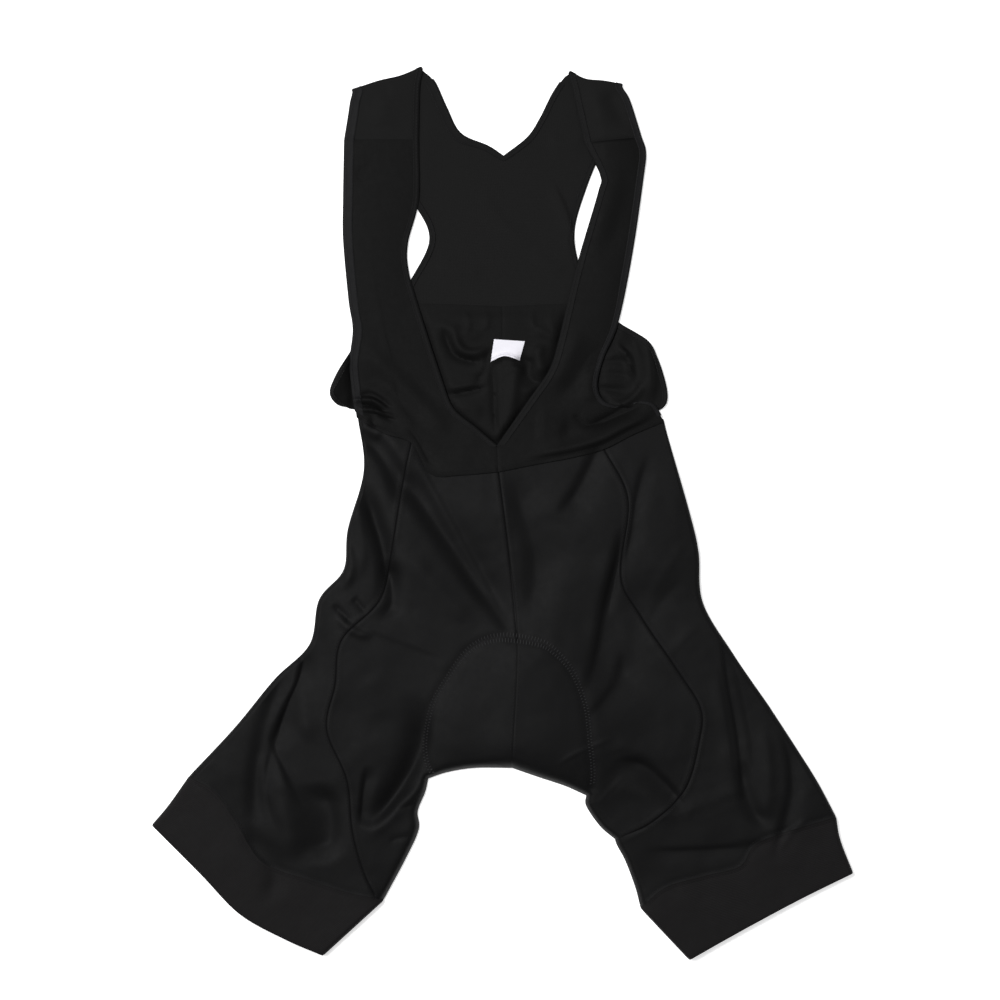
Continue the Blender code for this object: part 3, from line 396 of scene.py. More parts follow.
LOWER_FOLDS = (
    ("centre back ridge", 4.4, 5, 13, ((13, 158), (12, 122), (8, 95), (1, 56))),
    ("centre back line", -3.0, 2.4, 3.2, ((-9, 144), (-8, 118), (-7, 92), (-5, 66))),
    ("light tip", 1.6, 3, 3, ((6, 137), (14, 134), (22, 130))),
    ("arc over the label", 2.6, 1.8, 2.6, ((-14, 136), (-10, 141.5), (2, 146.5), (16, 142.5),
      (21, 137))),
    ("pocket under the arc", -3.4, 4, 5, ((8, 141), (22, 142), (30, 133))),
    ("right pleat pocket", -3.4, 3, 5, ((27, 146), (24, 133), (28, 124), (38, 118))),
    ("right pleat", 3.4, 5, 6, ((36, 160), (34, 148), (36, 136), (40, 126))),
    ("right upper pleat", 1.6, 5, 5, ((28, 172), (44, 166), (56, 158))),
    ("right lower pleat", 1.4, 4, 5, ((14, 118), (26, 112), (38, 112))),
    ("left pleat line", -4.4, 3, 4, ((-58, 176), (-50, 157), (-42, 146), (-16, 138))),
    ("left pleat", 3.6, 4, 5, ((-50, 174), (-40, 154), (-28, 149), (-8, 154))),
    ("left upper pleat", 1.2, 5, 5, ((-66, 178), (-50, 172), (-30, 166), (-14, 168))),
    ("left of the label", 2.0, 3, 3, ((-14, 144), (-18, 136), (-22, 126))),
    ("left low line", -3.8, 1.8, 3.2, ((-62, 109), (-38, 112), (-12, 118))),
    ("left low ridge", 1.5, 2.5, 3, ((-52, 116), (-38, 118), (-22, 122))),
    ("left deep light", 1.2, 6, 8, ((-44, 100), (-30, 98), (-18, 92))),
    ("gathers over the label", 1.2, 6, 6, ((-66, 186), (-20, 183), (40, 185))),
    ("gather one", 1.0, 3, 3, ((-36, 192), (-32, 178), (-34, 164))),
    ("gather two", 0.9, 3, 3, ((-16, 192), (-14, 180), (-18, 168))),
    ("gather three", 1.0, 3, 3, ((30, 192), (28, 180), (32, 168))),
    ("gather four", 0.8, 3, 3, ((48, 190), (46, 178), (50, 166))),
    ("left loop rim", 8.0, 10, 2.5, ((-140, 156), (-152, 134), (-159, 117), (-158, 104), (-150, 99),
      (-138, 98))),
    ("line left of the label", -2.8, 2.4, 3.2, ((-12, 156), (-15, 142), (-20, 128), (-25, 118))),
    ("right hole line one", -2.2, 3, 4, ((86, 150), (106, 156), (124, 151))),
    ("right hole line two", -2.4, 3, 4, ((84, 137), (106, 142), (124, 138))),
    ("right hole line three", -1.6, 3, 4, ((82, 128), (104, 130), (122, 127))),
    ("right hole line four", -2.6, 3, 4, ((84, 117), (104, 115), (122, 113))),
    ("right hole rim line", -3.0, 3, 4, ((100, 168), (93, 146), (89, 122), (94, 106))),
    ("right roll line", -1.4, 3.5, 2.6, ((114, 174), (127, 152), (131, 129), (126, 112),
      (114, 101))),
    ("right hole fall", -2.0, 4, 20, ((118, 182), (124, 150), (125, 125), (120, 95))),
    ("right back roll", 4.2, 4, 9.5, ((134, 171), (138, 150), (140, 124), (139, 99))),
    ("right loop fold", 3.4, 2.4, 3, ((103, 162), (110, 155), (118, 145), (121, 134), (125, 122))),
    ("right hole rim", 3.8, 2.6, 3.4, ((99, 101), (112, 101), (123, 108), (130, 118), (134, 127))),
)

YOKE_FOLDS = (
    ("crease by the right armhole", 1.5, 2, 8, ((46, 312), (58, 286), (65, 262), (69, 236))),
    ("right shoulder pull", 0.9, 5, 9, ((40, 352), (58, 346), (80, 352))),
    ("left shoulder pull", 0.4, 9, 4, ((-74, 396), (-70, 366), (-74, 332), (-72, 296))),
    ("middle pull", 0.7, 5, 9, ((-22, 306), (-8, 282), (12, 262), (34, 252))),
    ("low right pull", 0.8, 6, 6, ((26, 246), (44, 232), (62, 226))),
    ("low left pull", 0.7, 6, 8, ((-64, 236), (-40, 226), (-16, 224))),
)


# curves and patches in plan

def run_along(line):
    """The length of a line up to each of its points."""
    return np.r_[0.0, np.cumsum(np.linalg.norm(np.diff(line, axis=0), axis=1))]


def read_along(line, run, at):
    """What a line's columns hold at lengths along it."""
    return np.column_stack([np.interp(at, run, column) for column in line.T])


def smooth(points, at):
    """Stations on a Catmull-Rom curve through the points. at is their number less one, evenly
    spaced, or an array of their shares of the curve's length."""
    at = np.linspace(0, 1, at + 1) if np.isscalar(at) else at
    p = np.array(points, float)
    p = np.vstack([2 * p[0] - p[1], p, 2 * p[-1] - p[-2]])
    t = np.linspace(0.0, 1.0, 36, endpoint=False)[:, None]
    spans = [
        0.5 * (2 * b + (c - a) * t + (2 * a - 5 * b + 4 * c - d) * t**2
               + (3 * b - a - 3 * c + d) * t**3)
        for a, b, c, d in zip(p[:-3], p[1:-2], p[2:-1], p[3:])
    ]
    dense = np.vstack(spans + [p[-2:-1]])
    run = run_along(dense)
    return read_along(dense, run, at * run[-1])


def joined(*stretches):
    """Stations along several (curve, count) stretches that follow each other."""
    rows = [smooth(*stretches[0])]
    rows += [smooth(*stretch)[1:] for stretch in stretches[1:]]
    return np.vstack(rows)


def denser_at_ends(count, pull=0.5):
    """Shares 0 to 1 with closer steps at both ends: t - pull sin(2 pi t) / 2 pi."""
    t = np.linspace(0, 1, count + 1)
    return t - pull * np.sin(2 * np.pi * t) / (2 * np.pi)


def unit(vectors):
    """Vectors made one long."""
    return vectors / np.maximum(np.linalg.norm(vectors, axis=-1, keepdims=True), 1e-12)


def leftwards(line):
    """Unit vectors square to a plan line, on its left."""
    along = unit(np.gradient(line, axis=0))
    return np.column_stack([-along[:, 1], along[:, 0]])


def square_to(edge, inside):
    """Unit vectors square to an edge's stations, on the side of the inside points."""
    across = leftwards(edge)
    side = np.sign(np.sum(across * (inside - edge), axis=1, keepdims=True))
    return across * np.where(side == 0, 1, side)


def turning_in(edge, inside, reach=12):
    """Directions in from a turned edge: square to it, but swung to the rows at its two ends, so
    that the turn ends in line with the seams there."""
    inward = square_to(edge, inside)
    share = np.clip(np.arange(len(edge)) / reach, 0, 1)[:, None]
    first = unit(inside[0] - edge[0])
    last = unit(inside[-1] - edge[-1])
    inward = unit((1 - share) * first + share * inward)
    return unit((1 - share[::-1]) * last + share[::-1] * inward)


def patch(first, last, top, low, fade=1, across=None):
    """Plan grid [row, column] ruled between a first and a last column edge, and bent to the curves
    of its top and low rows by shares that fade away from them, faster where fade is higher."""
    top = np.vstack([first[:1], top[1:-1], last[:1]])
    low = np.vstack([first[-1:], low[1:-1], last[-1:]])
    v = np.linspace(0, 1, len(first))[:, None, None]
    u = (np.linspace(0, 1, len(top)) if across is None else across)[None, :, None]
    ruled = (1 - u) * first[:, None] + u * last[:, None]
    return ruled + (1 - v)**fade * (top - ruled[0]) + v**fade * (low - ruled[-1])


def inset(plan, first=-SEAM_LAP / 2, last=-SEAM_LAP / 2, top=-SEAM_LAP / 2, low=-SEAM_LAP / 2):
    """The plan grid with its edges pulled in, or let out a little so that pieces meet at seams."""
    out = plan.copy()
    out[:, 0] += first * square_to(plan[:, 0], plan[:, 1])
    out[:, -1] += last * square_to(plan[:, -1], plan[:, -2])
    out[0] += top * square_to(plan[0], plan[1])
    out[-1] += low * square_to(plan[-1], plan[-2])
    return out


# heights

def signed_distance(xy, path):
    """Distance from each point to a path, above 0 on its left."""
    best = np.full(len(xy), np.inf)
    side = np.ones(len(xy))
    for a, b in zip(path[:-1], path[1:]):
        run = b - a
        off = xy - a
        t = np.clip(off @ run / (run @ run), 0, 1)
        d = np.linalg.norm(off - t[:, None] * run, axis=1)
        nearer = d < best
        best = np.where(nearer, d, best)
        left = run[0] * off[:, 1] > run[1] * off[:, 0]
        side = np.where(nearer, np.where(left, 1.0, -1.0), side)
    return best * side


def far_from(xy, path):
    """Distance from each point of a grid to a path."""
    return np.abs(signed_distance(xy.reshape(-1, 2), path)).reshape(xy.shape[:-1])


def folds(xy, table):
    """Sum of the folds: each is a bell across its path with its own half width on each side, and
    fades to nothing at the path's two ends, by its share of the way from one end to the other.
    Ridges and hollows are round, and a narrow line comes to an edge."""
    flat = xy.reshape(-1, 2)
    total = np.zeros(len(flat))
    for _name, height, left, right, path in table:
        line = smooth(path, 40)
        reach = FOLD_REACH * max(left, right)
        sharp = height < 0 and max(left, right) < NARROW
        power = SHARP_POWER if sharp else ROUND_POWER
        near = np.all((flat > line.min(axis=0) - reach) & (flat < line.max(axis=0) + reach), axis=1)
        if near.any():
            d = signed_distance(flat[near], line)
            chord = line[-1] - line[0]
            along = (flat[near] - line[0]) @ chord / (chord @ chord)
            bell = np.exp(-((np.abs(d) / np.where(d > 0, left, right)) ** power))
            total[near] += height * bell * ease(0, END_FADE, along) * ease(1, 1 - END_FADE, along)
    return total.reshape(xy.shape[:-1])


def ease(low, high, value):
    """0 before low, 1 past high, and 3 t^2 - 2 t^3 between them."""
    t = np.clip((value - low) / (high - low), 0, 1)
    return t * t * (3 - 2 * t)


def uneven(xy, size, seed):
    """Smooth random heights from -1 to 1: a seeded lattice, read with eased steps between points
    that lie size apart."""
    lattice = np.random.default_rng(seed).uniform(-1, 1, (128, 128))
    place = xy / size + 64
    cell = np.floor(place).astype(int)
    share = place - cell
    share = share * share * (3 - 2 * share)
    i, j = cell[..., 0], cell[..., 1]
    s, t = share[..., 0], share[..., 1]
    near = (1 - s) * lattice[i, j] + s * lattice[i + 1, j]
    far = (1 - s) * lattice[i, j + 1] + s * lattice[i + 1, j + 1]
    return (1 - t) * near + t * far


def slack(xy):
    """The small uneven swells of cloth that lies loose: three sizes of them."""
    askew = xy @ np.array(((0.8, -0.6), (0.6, 0.8)))
    return 1.0 * uneven(xy, 47, 3) + 0.42 * uneven(askew, 21, 5) + 0.14 * uneven(xy, 9.5, 7)


CLOSED_EDGE = joined((INNER_LEG["left"][::-1], 30), (CROTCH["left"][::-1], 18),
                     (CROTCH["right"], 18), (INNER_LEG["right"], 18), (INNER_LEG_RIGHT_LOW, 18))
LEFT_FOLD_EDGE = smooth(OUTER_EDGE["left"], 60)
RIGHT_FOLD_EDGE = joined((OUTER_EDGE["right"], 52), (OUTER_RIGHT_LOW, 12))
UPPER_SEAMS = ((smooth(SIDE_SEAM["left"], 60), 1.5), (smooth(SIDE_SEAM["right"], 60), 1.8),
               (smooth(CENTRE_FRONT[:3], 30), 1.6), (smooth(GRIPPER_SEAM["left"], 30), -1.3),
               (smooth(GRIPPER_SEAM["right"], 30), -1.5))


def seam_relief(xy):
    """A narrow groove along each seam of the upper layer, between two slight swells of its
    turned-in edges, each as strong as the seam shows."""
    total = np.zeros(xy.shape[:-1])
    for seam, strength in UPPER_SEAMS:
        d = far_from(xy, seam)
        relief = 0.10 * np.exp(-(((d - 3.4) / 1.8) ** 2)) - 0.45 * np.exp(-((d / 0.8) ** 2))
        total += strength * relief
    return total


def upper(xy):
    """Height of the upper layer: low over the bib, rising to the shorts, pinched down to the
    closed edges of crotch and inner legs, eased at the outer folds, raised over the pad."""
    level = BIB_LEVEL + (SHORTS_LEVEL - BIB_LEVEL) * ease(SHORTS_START, SHORTS_FULL, xy[..., 1])
    closed = far_from(xy, CLOSED_EDGE)
    pinch = 1 - 0.9 * np.exp(-((closed / 2.4) ** 1.5)) - 0.1 * np.exp(-closed / 14)
    fold_edge = np.minimum(far_from(xy, LEFT_FOLD_EDGE), far_from(xy, RIGHT_FOLD_EDGE))
    outer = 1 - 0.22 * np.exp(-fold_edge / 22)
    height = EDGE_LEVEL + (level - EDGE_LEVEL) * pinch * outer
    pad = np.sum(((xy - PAD_RISE_CENTRE) / PAD_RISE_REACH) ** 2, axis=-1)
    height += PAD_RISE * np.exp(-(pad**2)) * (1 - np.exp(-closed / 7))
    sewn_down = np.exp(-((far_from(xy, smooth(PAD_STITCH, 60)) / 4.5) ** 2))
    shorts = ease(120, 20, xy[..., 1])
    loose = folds(xy, UPPER_FOLDS) + shorts * (slack(xy) + seam_relief(xy)) - 1.1 * sewn_down
    return np.maximum(height + loose * ease(0, 10, closed), EDGE_LEVEL)


WAIST_EDGES = [smooth(WAIST[side], 50) for side in SIDES]


def bib_height(xy):
    """The bib lies over the top of the shorts, clear of them by its own wall. Its own folds die
    out at the waist seam."""
    waist = np.minimum(*(far_from(xy, edge) for edge in WAIST_EDGES))
    own = folds(xy, BIB_FOLDS) * ease(0.5, 7, waist)
    strap = ease(STRAP_START, STRAP_FULL, xy[..., 1])
    height = upper(xy) + BIB_LIFT - STRAP_DROP * strap + own + 0.6 * slack(xy)
    return np.maximum(height, BIB_FLOOR - STRAP_FLOOR_DROP * strap)


def neck_share(xy):
    """0 under the bib to 1 well inside the neck opening, and 1 in the armholes outside the bib."""
    x, y = xy[..., 0], xy[..., 1]
    left, right = (smooth(BIB_NECK[side], 60)[::-1] for side in SIDES)
    inside = np.minimum(x - np.interp(y, left[:, 1], left[:, 0]),
                        np.interp(y, right[:, 1], right[:, 0]) - x)
    outer = smooth(BIB_OUTER["right"][3:8], 30)[::-1]
    hole = (x - np.interp(y, outer[:, 1], outer[:, 0])) * ease(96, 101, y)
    loop = LEFT_LOOP_START - x
    return ease(0, 8, np.maximum(inside, np.maximum(hole, loop)))


def lower(xy):
    """Height of the lower layer: flat on the surface under the rest, but in pleats where the neck
    and the armholes show it."""
    seen = neck_share(xy) * ease(58, 72, xy[..., 1]) * ease(197, 172, xy[..., 1])
    pleats = 3.0 + folds(xy, LOWER_FOLDS) + 0.5 * slack(xy)
    return FLOOR + np.maximum(pleats * seen, 0)


def flat_lower(xy):
    """Height of the yoke on the surface, with slight swells and a few soft folds."""
    swell = 0.12 * (1 + uneven(xy, 34, 11)) + np.maximum(folds(xy, YOKE_FOLDS), 0)
    return FLOOR + swell * ease(197, 215, xy[..., 1])


def lifted(plan, height):
    """Plan points with their heights, or with one height for all."""
    height = np.broadcast_to(height, plan.shape[:-1])
    return np.concatenate([plan, height[..., None]], axis=-1)


def raised(plan, surface, above=0.0):
    """Plan points at their heights on a surface, or above it."""
    return lifted(plan, surface(plan) + above)


# the panels: each returns its grid of middle points

def leg_edges():
    """Stations of the side seam and of the outer edge of each leg, down to the gripper."""
    corner = (SIDE_SEAM["right"][-1], INNER_LEG["right"][-1])
    left = (smooth(SIDE_SEAM["left"][:-1] + GRIPPER_SEAM["left"][-1:], LEG_ROWS),
            smooth(OUTER_EDGE["left"], LEG_ROWS))
    right = (joined((SIDE_SEAM["right"], LEG_ROWS), (corner, CORNER_ROWS),
                    (INNER_LEG_RIGHT_LOW, INNER_EDGE_ROWS - CORNER_ROWS)),
             joined((OUTER_EDGE["right"], LEG_ROWS - LOW_EDGE_ROWS),
                    (OUTER_RIGHT_LOW, LOW_EDGE_ROWS + INNER_EDGE_ROWS)))
    return {"left": left, "right": right}


def gripper_stations(side, start=0.0):
    """Stations along a gripper's seam from a share of its outer stretch to its inner end."""
    columns, last = GRIPPER_COLUMNS
    shares = np.linspace(start, 1, round(columns * (1 - start)) + 1)
    if side == "right":
        return smooth(GRIPPER_SEAM[side], np.linspace(start, 1, len(shares) + last))
    return np.vstack([smooth(GRIPPER_SEAM[side], shares),
                      smooth(GRIPPER_SEAM_LEFT_END, last)[1:]])


def front_panel(side, seam):
    """A front of the shorts, from the side seam to the centre front and round the inner leg."""
    first = seam[:LEG_ROWS + 1]
    paths = (CENTRE_FRONT, CROTCH[side], INNER_LEG[side])
    last = joined(*zip(paths, FRONT_ROWS[side]))
    across = denser_at_ends(FRONT_COLUMNS)
    low = smooth((first[-1], last[-1]), across)
    plan = patch(first, last, smooth(WAIST[side][2:], across), low, 1, across)
    return raised(inset(plan), upper)


def side_panel(side, seam, edge):
    """A side: over the front, round the outer fold and a strip of the underside."""
    across = denser_at_ends(SIDE_COLUMNS, 0.4)
    top_row = smooth(WAIST[side][2::-1], across)
    low_row = smooth(GRIPPER_SEAM[side][::-1], across)
    inward = turning_in(edge, patch(seam, edge, top_row, low_row, 1, across)[:, -2])
    plan = patch(seam, edge + SIDE_ROLL * inward, top_row, low_row, SIDE_FADE, across)
    top = raised(inset(plan, last=0), upper)
    back_edge = under_seam(side, len(seam) - 1)
    strip = patch(plan[:, -1], back_edge, smooth((plan[0, -1], back_edge[0]), UNDER_COLUMNS),
                  smooth(GRIPPER_SEAM[side], np.linspace(0, UNDER_SHARE, UNDER_COLUMNS + 1)))
    strip = inset(strip, first=0)
    fold = turned(edge, inward, top[:, -1, 2], np.full(len(seam), FLOOR), SIDE_ROLL)
    below = lifted(np.concatenate([plan[:, -1:], strip[:, 1:]], axis=1), FLOOR)
    return np.concatenate([top, fold, below], axis=1)


def turned(edge, inward, start, end, roll):
    """Columns of a turned edge [row, step]: half an ellipse from height start to height end,
    which reaches out as far as the edge and meets both layers a roll's width inside it."""
    angle = np.linspace(np.pi / 2, -np.pi / 2, ROLL_STEPS + 1)[1:-1]
    reach = roll * (1 - np.cos(angle))
    plan = edge[:, None] + reach[None, :, None] * inward[:, None]
    height = (start + end)[:, None] / 2 + (start - end)[:, None] / 2 * np.sin(angle)
    return lifted(plan, height)


def under_seam(side, rows):
    """The seam on the underside, which ends at a point of the gripper's seam."""
    end = smooth(GRIPPER_SEAM[side], np.array([UNDER_SHARE]))[0]
    return smooth(UNDER_SEAM[side][:-1] + (tuple(end),), rows)


def back_panel(side):
    """A back of the shorts, flat but for the pleats inside the neck."""
    closed_edges = CLOSED_STRETCHES[side]
    rows = sum(CENTRE_BACK_ROWS) + sum(count for _path, count in closed_edges) - BACK_ARM_ROWS
    first = np.vstack([smooth(BACK_ARM[side], BACK_ARM_ROWS), under_seam(side, rows)[1:]])
    last = joined(*zip((CENTRE_BACK_HIGH, CENTRE_BACK_LOW), CENTRE_BACK_ROWS), *closed_edges)
    low = gripper_stations(side, UNDER_SHARE)
    plan = patch(first, last, smooth(YOKE_WAIST[side], len(low) - 1), low)
    tucked = inset(plan)
    closed = slice(sum(CENTRE_BACK_ROWS) + 1, None)
    tucked[closed, -1] += CLOSED_TUCK * turning_in(plan[closed, -1], plan[closed, -2])
    return raised(tucked, lower)


def strap_crown(across):
    """A strap's swell from edge to edge: sin(pi across) to the power 0.8."""
    return STRAP_CROWN * np.sin(np.pi * across)[None] ** 0.8


def bib_panel(side):
    """A bib front with its strap; its low edge laps the top of the shorts. The strap is crowned a
    little from edge to edge."""
    outer, neck = BIB_OUTER[side], BIB_NECK[side]
    across = denser_at_ends(BIB_COLUMNS, 0.4)
    low = smooth(WAIST[side], across)
    outwards = 0.35 * np.sign(-outer[0][0]) * (1 - across)
    low = low - LAP * np.column_stack([outwards, np.full(len(low), 0.94)])
    first = smooth(outer[:-1] + (tuple(low[0]),), BIB_ROWS)
    last = joined((neck, BIB_ROWS - BIB_CENTRE_ROWS), ((neck[-1], tuple(low[-1])), BIB_CENTRE_ROWS))
    top = smooth(SHOULDER_SEAM[side], across)
    plan = inset(patch(first, last, top, low, 1, across), low=0)
    grid = raised(plan, bib_height)
    grid[..., 2] += strap_crown(across) * ease(90, 190, grid[..., 1])
    return grid


def yoke_half(side):
    """Half of the back yoke: up the back, over the shoulder and down to the shoulder seam."""
    rows = YOKE_CENTRE_ROWS + YOKE_NECK_ROWS
    fold_line = smooth(SHOULDER[side], BIB_COLUMNS)
    last = joined((YOKE_CENTRE, YOKE_CENTRE_ROWS), (YOKE_NECK[side], YOKE_NECK_ROWS))
    low = smooth(YOKE_WAIST[side], BIB_COLUMNS)
    back = patch(smooth(YOKE_ARM[side], rows), last, low, fold_line)
    inward = square_to(fold_line, back[-3])
    share = ease(rows - 14, rows, np.arange(rows + 1))[:, None, None]
    back = back + share * SHOULDER_ROLL * inward[None]
    back[0] -= (0, 0.6)
    back = raised(back, flat_lower) - (0, 0, (KNIT - YOKE_MESH) / 2)
    flap = patch(smooth(FLAP_OUTER[side], FLAP_ROWS), smooth(FLAP_NECK[side], FLAP_ROWS),
                 fold_line, smooth(SHOULDER_SEAM[side], BIB_COLUMNS))
    share = ease(8, 0, np.arange(FLAP_ROWS + 1))[:, None, None]
    flap = flap + share * SHOULDER_ROLL * inward[None]
    flap = raised(inset(flap, first=0, last=0, top=0), bib_height)
    flap[..., 2] += strap_crown(np.linspace(0, 1, BIB_COLUMNS + 1))
    fold = turned(fold_line, inward, flap[0, :, 2], back[-1, :, 2], SHOULDER_ROLL)
    whole = np.concatenate([back, fold[:, ::-1].transpose(1, 0, 2), flap])
    return back, whole


def gripper_band(side):
    """A leg's gripper band, a flattened tube: over the top, round the inner fold, back along the
    underside and round the outer fold."""
    seam = gripper_stations(side)
    columns = len(seam) - 1
    plan = patch(smooth(GRIPPER_OUTER[side], GRIPPER_ROWS),
                 smooth(GRIPPER_INNER[side], GRIPPER_ROWS), seam, smooth(LEG_HEM[side], columns))
    plan = inset(plan, first=0, last=0, low=0)
    outer_edge, inner_edge = plan[:, 0].copy(), plan[:, -1].copy()
    outer_inward = turning_in(outer_edge, plan[:, 3])
    inner_inward = turning_in(inner_edge, plan[:, -4])
    share = ease(10, 0, np.arange(columns + 1))[None, :, None]
    plan = plan + share * GRIPPER_ROLL * outer_inward[:, None]
    plan = plan + share[:, ::-1] * GRIPPER_ROLL * inner_inward[:, None]
    flush = (GRIPPER - KNIT) / 2
    height = np.maximum(upper(plan) - flush, 2 * GRIPPER + 0.6)
    top, low = lifted(plan, height), lifted(plan, GRIPPER / 2)
    flat = low[:, 0, 2]
    inner_fold = turned(inner_edge, inner_inward, height[:, -1], flat, GRIPPER_ROLL)
    outer_fold = turned(outer_edge, outer_inward, height[:, 0], flat, GRIPPER_ROLL)
    return np.concatenate([top, inner_fold, low[:, ::-1], outer_fold[:, ::-1]], axis=1)


def points_in(row, distances):
    """Points at the distances along a row of points."""
    return read_along(row, run_along(row), distances)


def strip_on(rows, width, wall):
    """Grid of a folded hem that lies on a panel along its edge. Its points are the panel's own at
    distances square to the edge, moved out along the panel's normal; the two sewn lines of it
    stand up as fine welts, and its outer side turns down over the edge. width is one width, or
    several at even shares of the edge."""
    edge = rows[:, 0]
    along = unit(np.gradient(edge, axis=0))
    inward = unit(rows[:, 2] - rows[:, 0])
    normal = np.cross(along, inward)
    sine = np.linalg.norm(normal, axis=1, keepdims=True)
    normal *= np.sign(np.median(normal[:, 2])) / sine
    even = np.linspace(0, 1, len(rows))
    widths = np.interp(even, np.linspace(0, 1, np.size(width)), np.ravel(width))
    share = np.linspace(0, 1, HEM_COLUMNS)
    welts = sum(np.exp(-(((share - at) / 0.10) ** 2)) for at in HEM_WELT_SHARES)
    lift = wall / 2 + TRIM_GAP + HEM / 2 + HEM_WELT * welts
    stretch = 1 / np.clip(sine, 0.55, 1)
    at = [points_in(row, (HEM_INSET + share * (reach - HEM_INSET)) * more)
          for row, reach, more in zip(rows, widths, stretch[:, 0])]
    grid = np.array(at) + normal[:, None] * lift[None, :, None]
    outside = edge[:, None] - HEM_OUTSET * inward[:, None]
    turn = outside + normal[:, None] * np.array((0.0, 0.55))[None, :, None] * (wall / 2 + TRIM_GAP)
    return np.concatenate([turn, grid], axis=1)


def neck_rows(halves):
    """Rows for the hem of the back neck: in from its edge on each half, and down at its middle."""
    left, right = halves
    notch = YOKE_CENTRE_ROWS
    reach = np.linspace(0, 24, 24)
    steps = range(notch + 2, notch + YOKE_NECK_ROWS - 4, 2)
    rows = [points_in(left[j, ::-1], reach) for j in reversed(steps)]
    rows += [points_in(left[notch::-1, -1], reach)]
    rows += [points_in(right[j, ::-1], reach) for j in steps]
    return np.array(rows)


# meshes

def cloth_marks(grid, ring):
    """Cloth coordinates of a grid's points: lengths run along its rows and down its columns."""
    closed = np.concatenate([grid, grid[:, :1]], axis=1) if ring else grid
    along = np.linalg.norm(np.diff(closed, axis=1, prepend=closed[:, :1]), axis=2).cumsum(axis=1)
    down = np.linalg.norm(np.diff(closed, axis=0, prepend=closed[:1]), axis=2).cumsum(axis=0)
    return np.stack([along, down], axis=-1)


def cells(grid):
    """The four corners of each cell of a grid of numbers or points."""
    return np.stack([grid[:-1, :-1], grid[1:, :-1], grid[1:, 1:], grid[:-1, 1:]], axis=2)


def lined(piece, finish):
    """Gives the faces that look up a second finish: the inside of a panel that lies face down."""
    piece.data.materials.append(finish)
    normals = np.empty(3 * len(piece.data.polygons))
    piece.data.polygons.foreach_get("normal", normals)
    piece.data.polygons.foreach_set("material_index", (normals[2::3] > 0.1).astype(np.int32))
    return piece


def shell(name, grids, wall, finish, ring=False):
    """A closed wall of cloth about grids [row, column] of middle points, welded where points match.
    Each point moves half the wall out and in along the cloth's normal, and half as far at the free
    edges, which are rounded by that. A rim closes the two faces along every free edge."""
    quads, marks, places, base = [], [], [], 0
    for grid in grids:
        grid = grid * MM
        rows, columns = grid.shape[:2]
        number = np.arange(rows * columns).reshape(rows, columns) + base
        number = np.concatenate([number, number[:, :1]], axis=1) if ring else number
        quads.append(cells(number).reshape(-1, 4))
        marks.append(cells(cloth_marks(grid, ring)).reshape(-1, 4, 2))
        places.append(grid.reshape(-1, 3))
        base += rows * columns
    quads, marks, places = np.vstack(quads), np.vstack(marks), np.vstack(places)
    _, kept, match = np.unique(np.round(places / WELD), axis=0, return_index=True,
                               return_inverse=True)
    places, quads = places[kept], match.reshape(-1)[quads]
    count = len(places)
    corner = places[quads]
    facing = np.cross(corner[:, 2] - corner[:, 0], corner[:, 3] - corner[:, 1])
    normal = np.zeros((count, 3))
    for k in range(4):
        np.add.at(normal, quads[:, k], facing)
    normal = unit(normal)
    start, end = quads.reshape(-1), np.roll(quads, -1, axis=1).reshape(-1)
    free = ~np.isin(start * count + end, end * count + start)
    a, b = start[free], end[free]
    mark_a = marks.reshape(-1, 2)[free]
    mark_b = np.roll(marks, -1, axis=1).reshape(-1, 2)[free]
    half = np.full(count, wall * MM / 2)
    half[a] *= 0.5
    half[b] = half[a].min() if len(a) else half[b]
    points = np.vstack([places + normal * half[:, None], places - normal * half[:, None]])
    rim = np.stack([b, a, a + count, b + count], axis=1)
    faces = np.vstack([quads, quads[:, ::-1] + count, rim])
    rim_marks = np.stack([mark_b, mark_a, mark_a, mark_b], axis=1)
    uvs = np.vstack([marks, marks[:, ::-1], rim_marks])
    return meshed(name, points, faces, finish, uvs)


def meshed(name, points, faces, finish, uvs=None):
    """A smooth mesh object from points and faces, with its cloth coordinates."""
    mesh = bpy.data.meshes.new(name)
    mesh.from_pydata(points.tolist(), [], faces.tolist())
    if uvs is not None:
        layer = mesh.uv_layers.new(name="cloth")
        layer.data.foreach_set("uv", uvs.astype(np.float32).ravel())
    mesh.shade_smooth()
    mesh.set_sharp_from_angle(angle=math.radians(52))
    mesh.materials.append(finish)
    piece = bpy.data.objects.new(name, mesh)
    bpy.context.scene.collection.objects.link(piece)
    return piece


def stitches(name, starts, ends, ups, radius, finish):
    """Short threads as one mesh: each runs from its start to its end, arched and thickest at its
    middle, with a square section turned on its corner."""
    along = unit(ends - starts)
    side = unit(np.cross(along, ups))
    up = np.cross(side, along)
    share = np.array((0.0, 0.25, 0.75, 1.0))
    thick = radius * np.array((0.45, 1.0, 1.0, 0.45))
    arch = radius * np.array((-0.9, 0.2, 0.2, -0.9))
    turn = np.arange(4) * np.pi / 2
    line = starts[:, None] + (ends - starts)[:, None] * share[None, :, None]
    line = line + up[:, None] * arch[None, :, None]
    turn = turn[None, None, :, None]
    section = np.cos(turn) * side[:, None, None] + np.sin(turn) * up[:, None, None]
    points = (line[:, :, None] + section * thick[None, :, None, None]).reshape(-1, 3)
    ring = np.arange(4)
    around = [np.stack([4 * j + ring, 4 * j + (ring + 1) % 4, 4 * j + 4 + (ring + 1) % 4,
                        4 * j + 4 + ring], axis=1) for j in range(3)]
    one = np.vstack(around + [[[3, 2, 1, 0]], [[12, 13, 14, 15]]])
    faces = (one[None] + 16 * np.arange(len(starts))[:, None, None]).reshape(-1, 4)
    return meshed(name, points * MM, faces, finish)


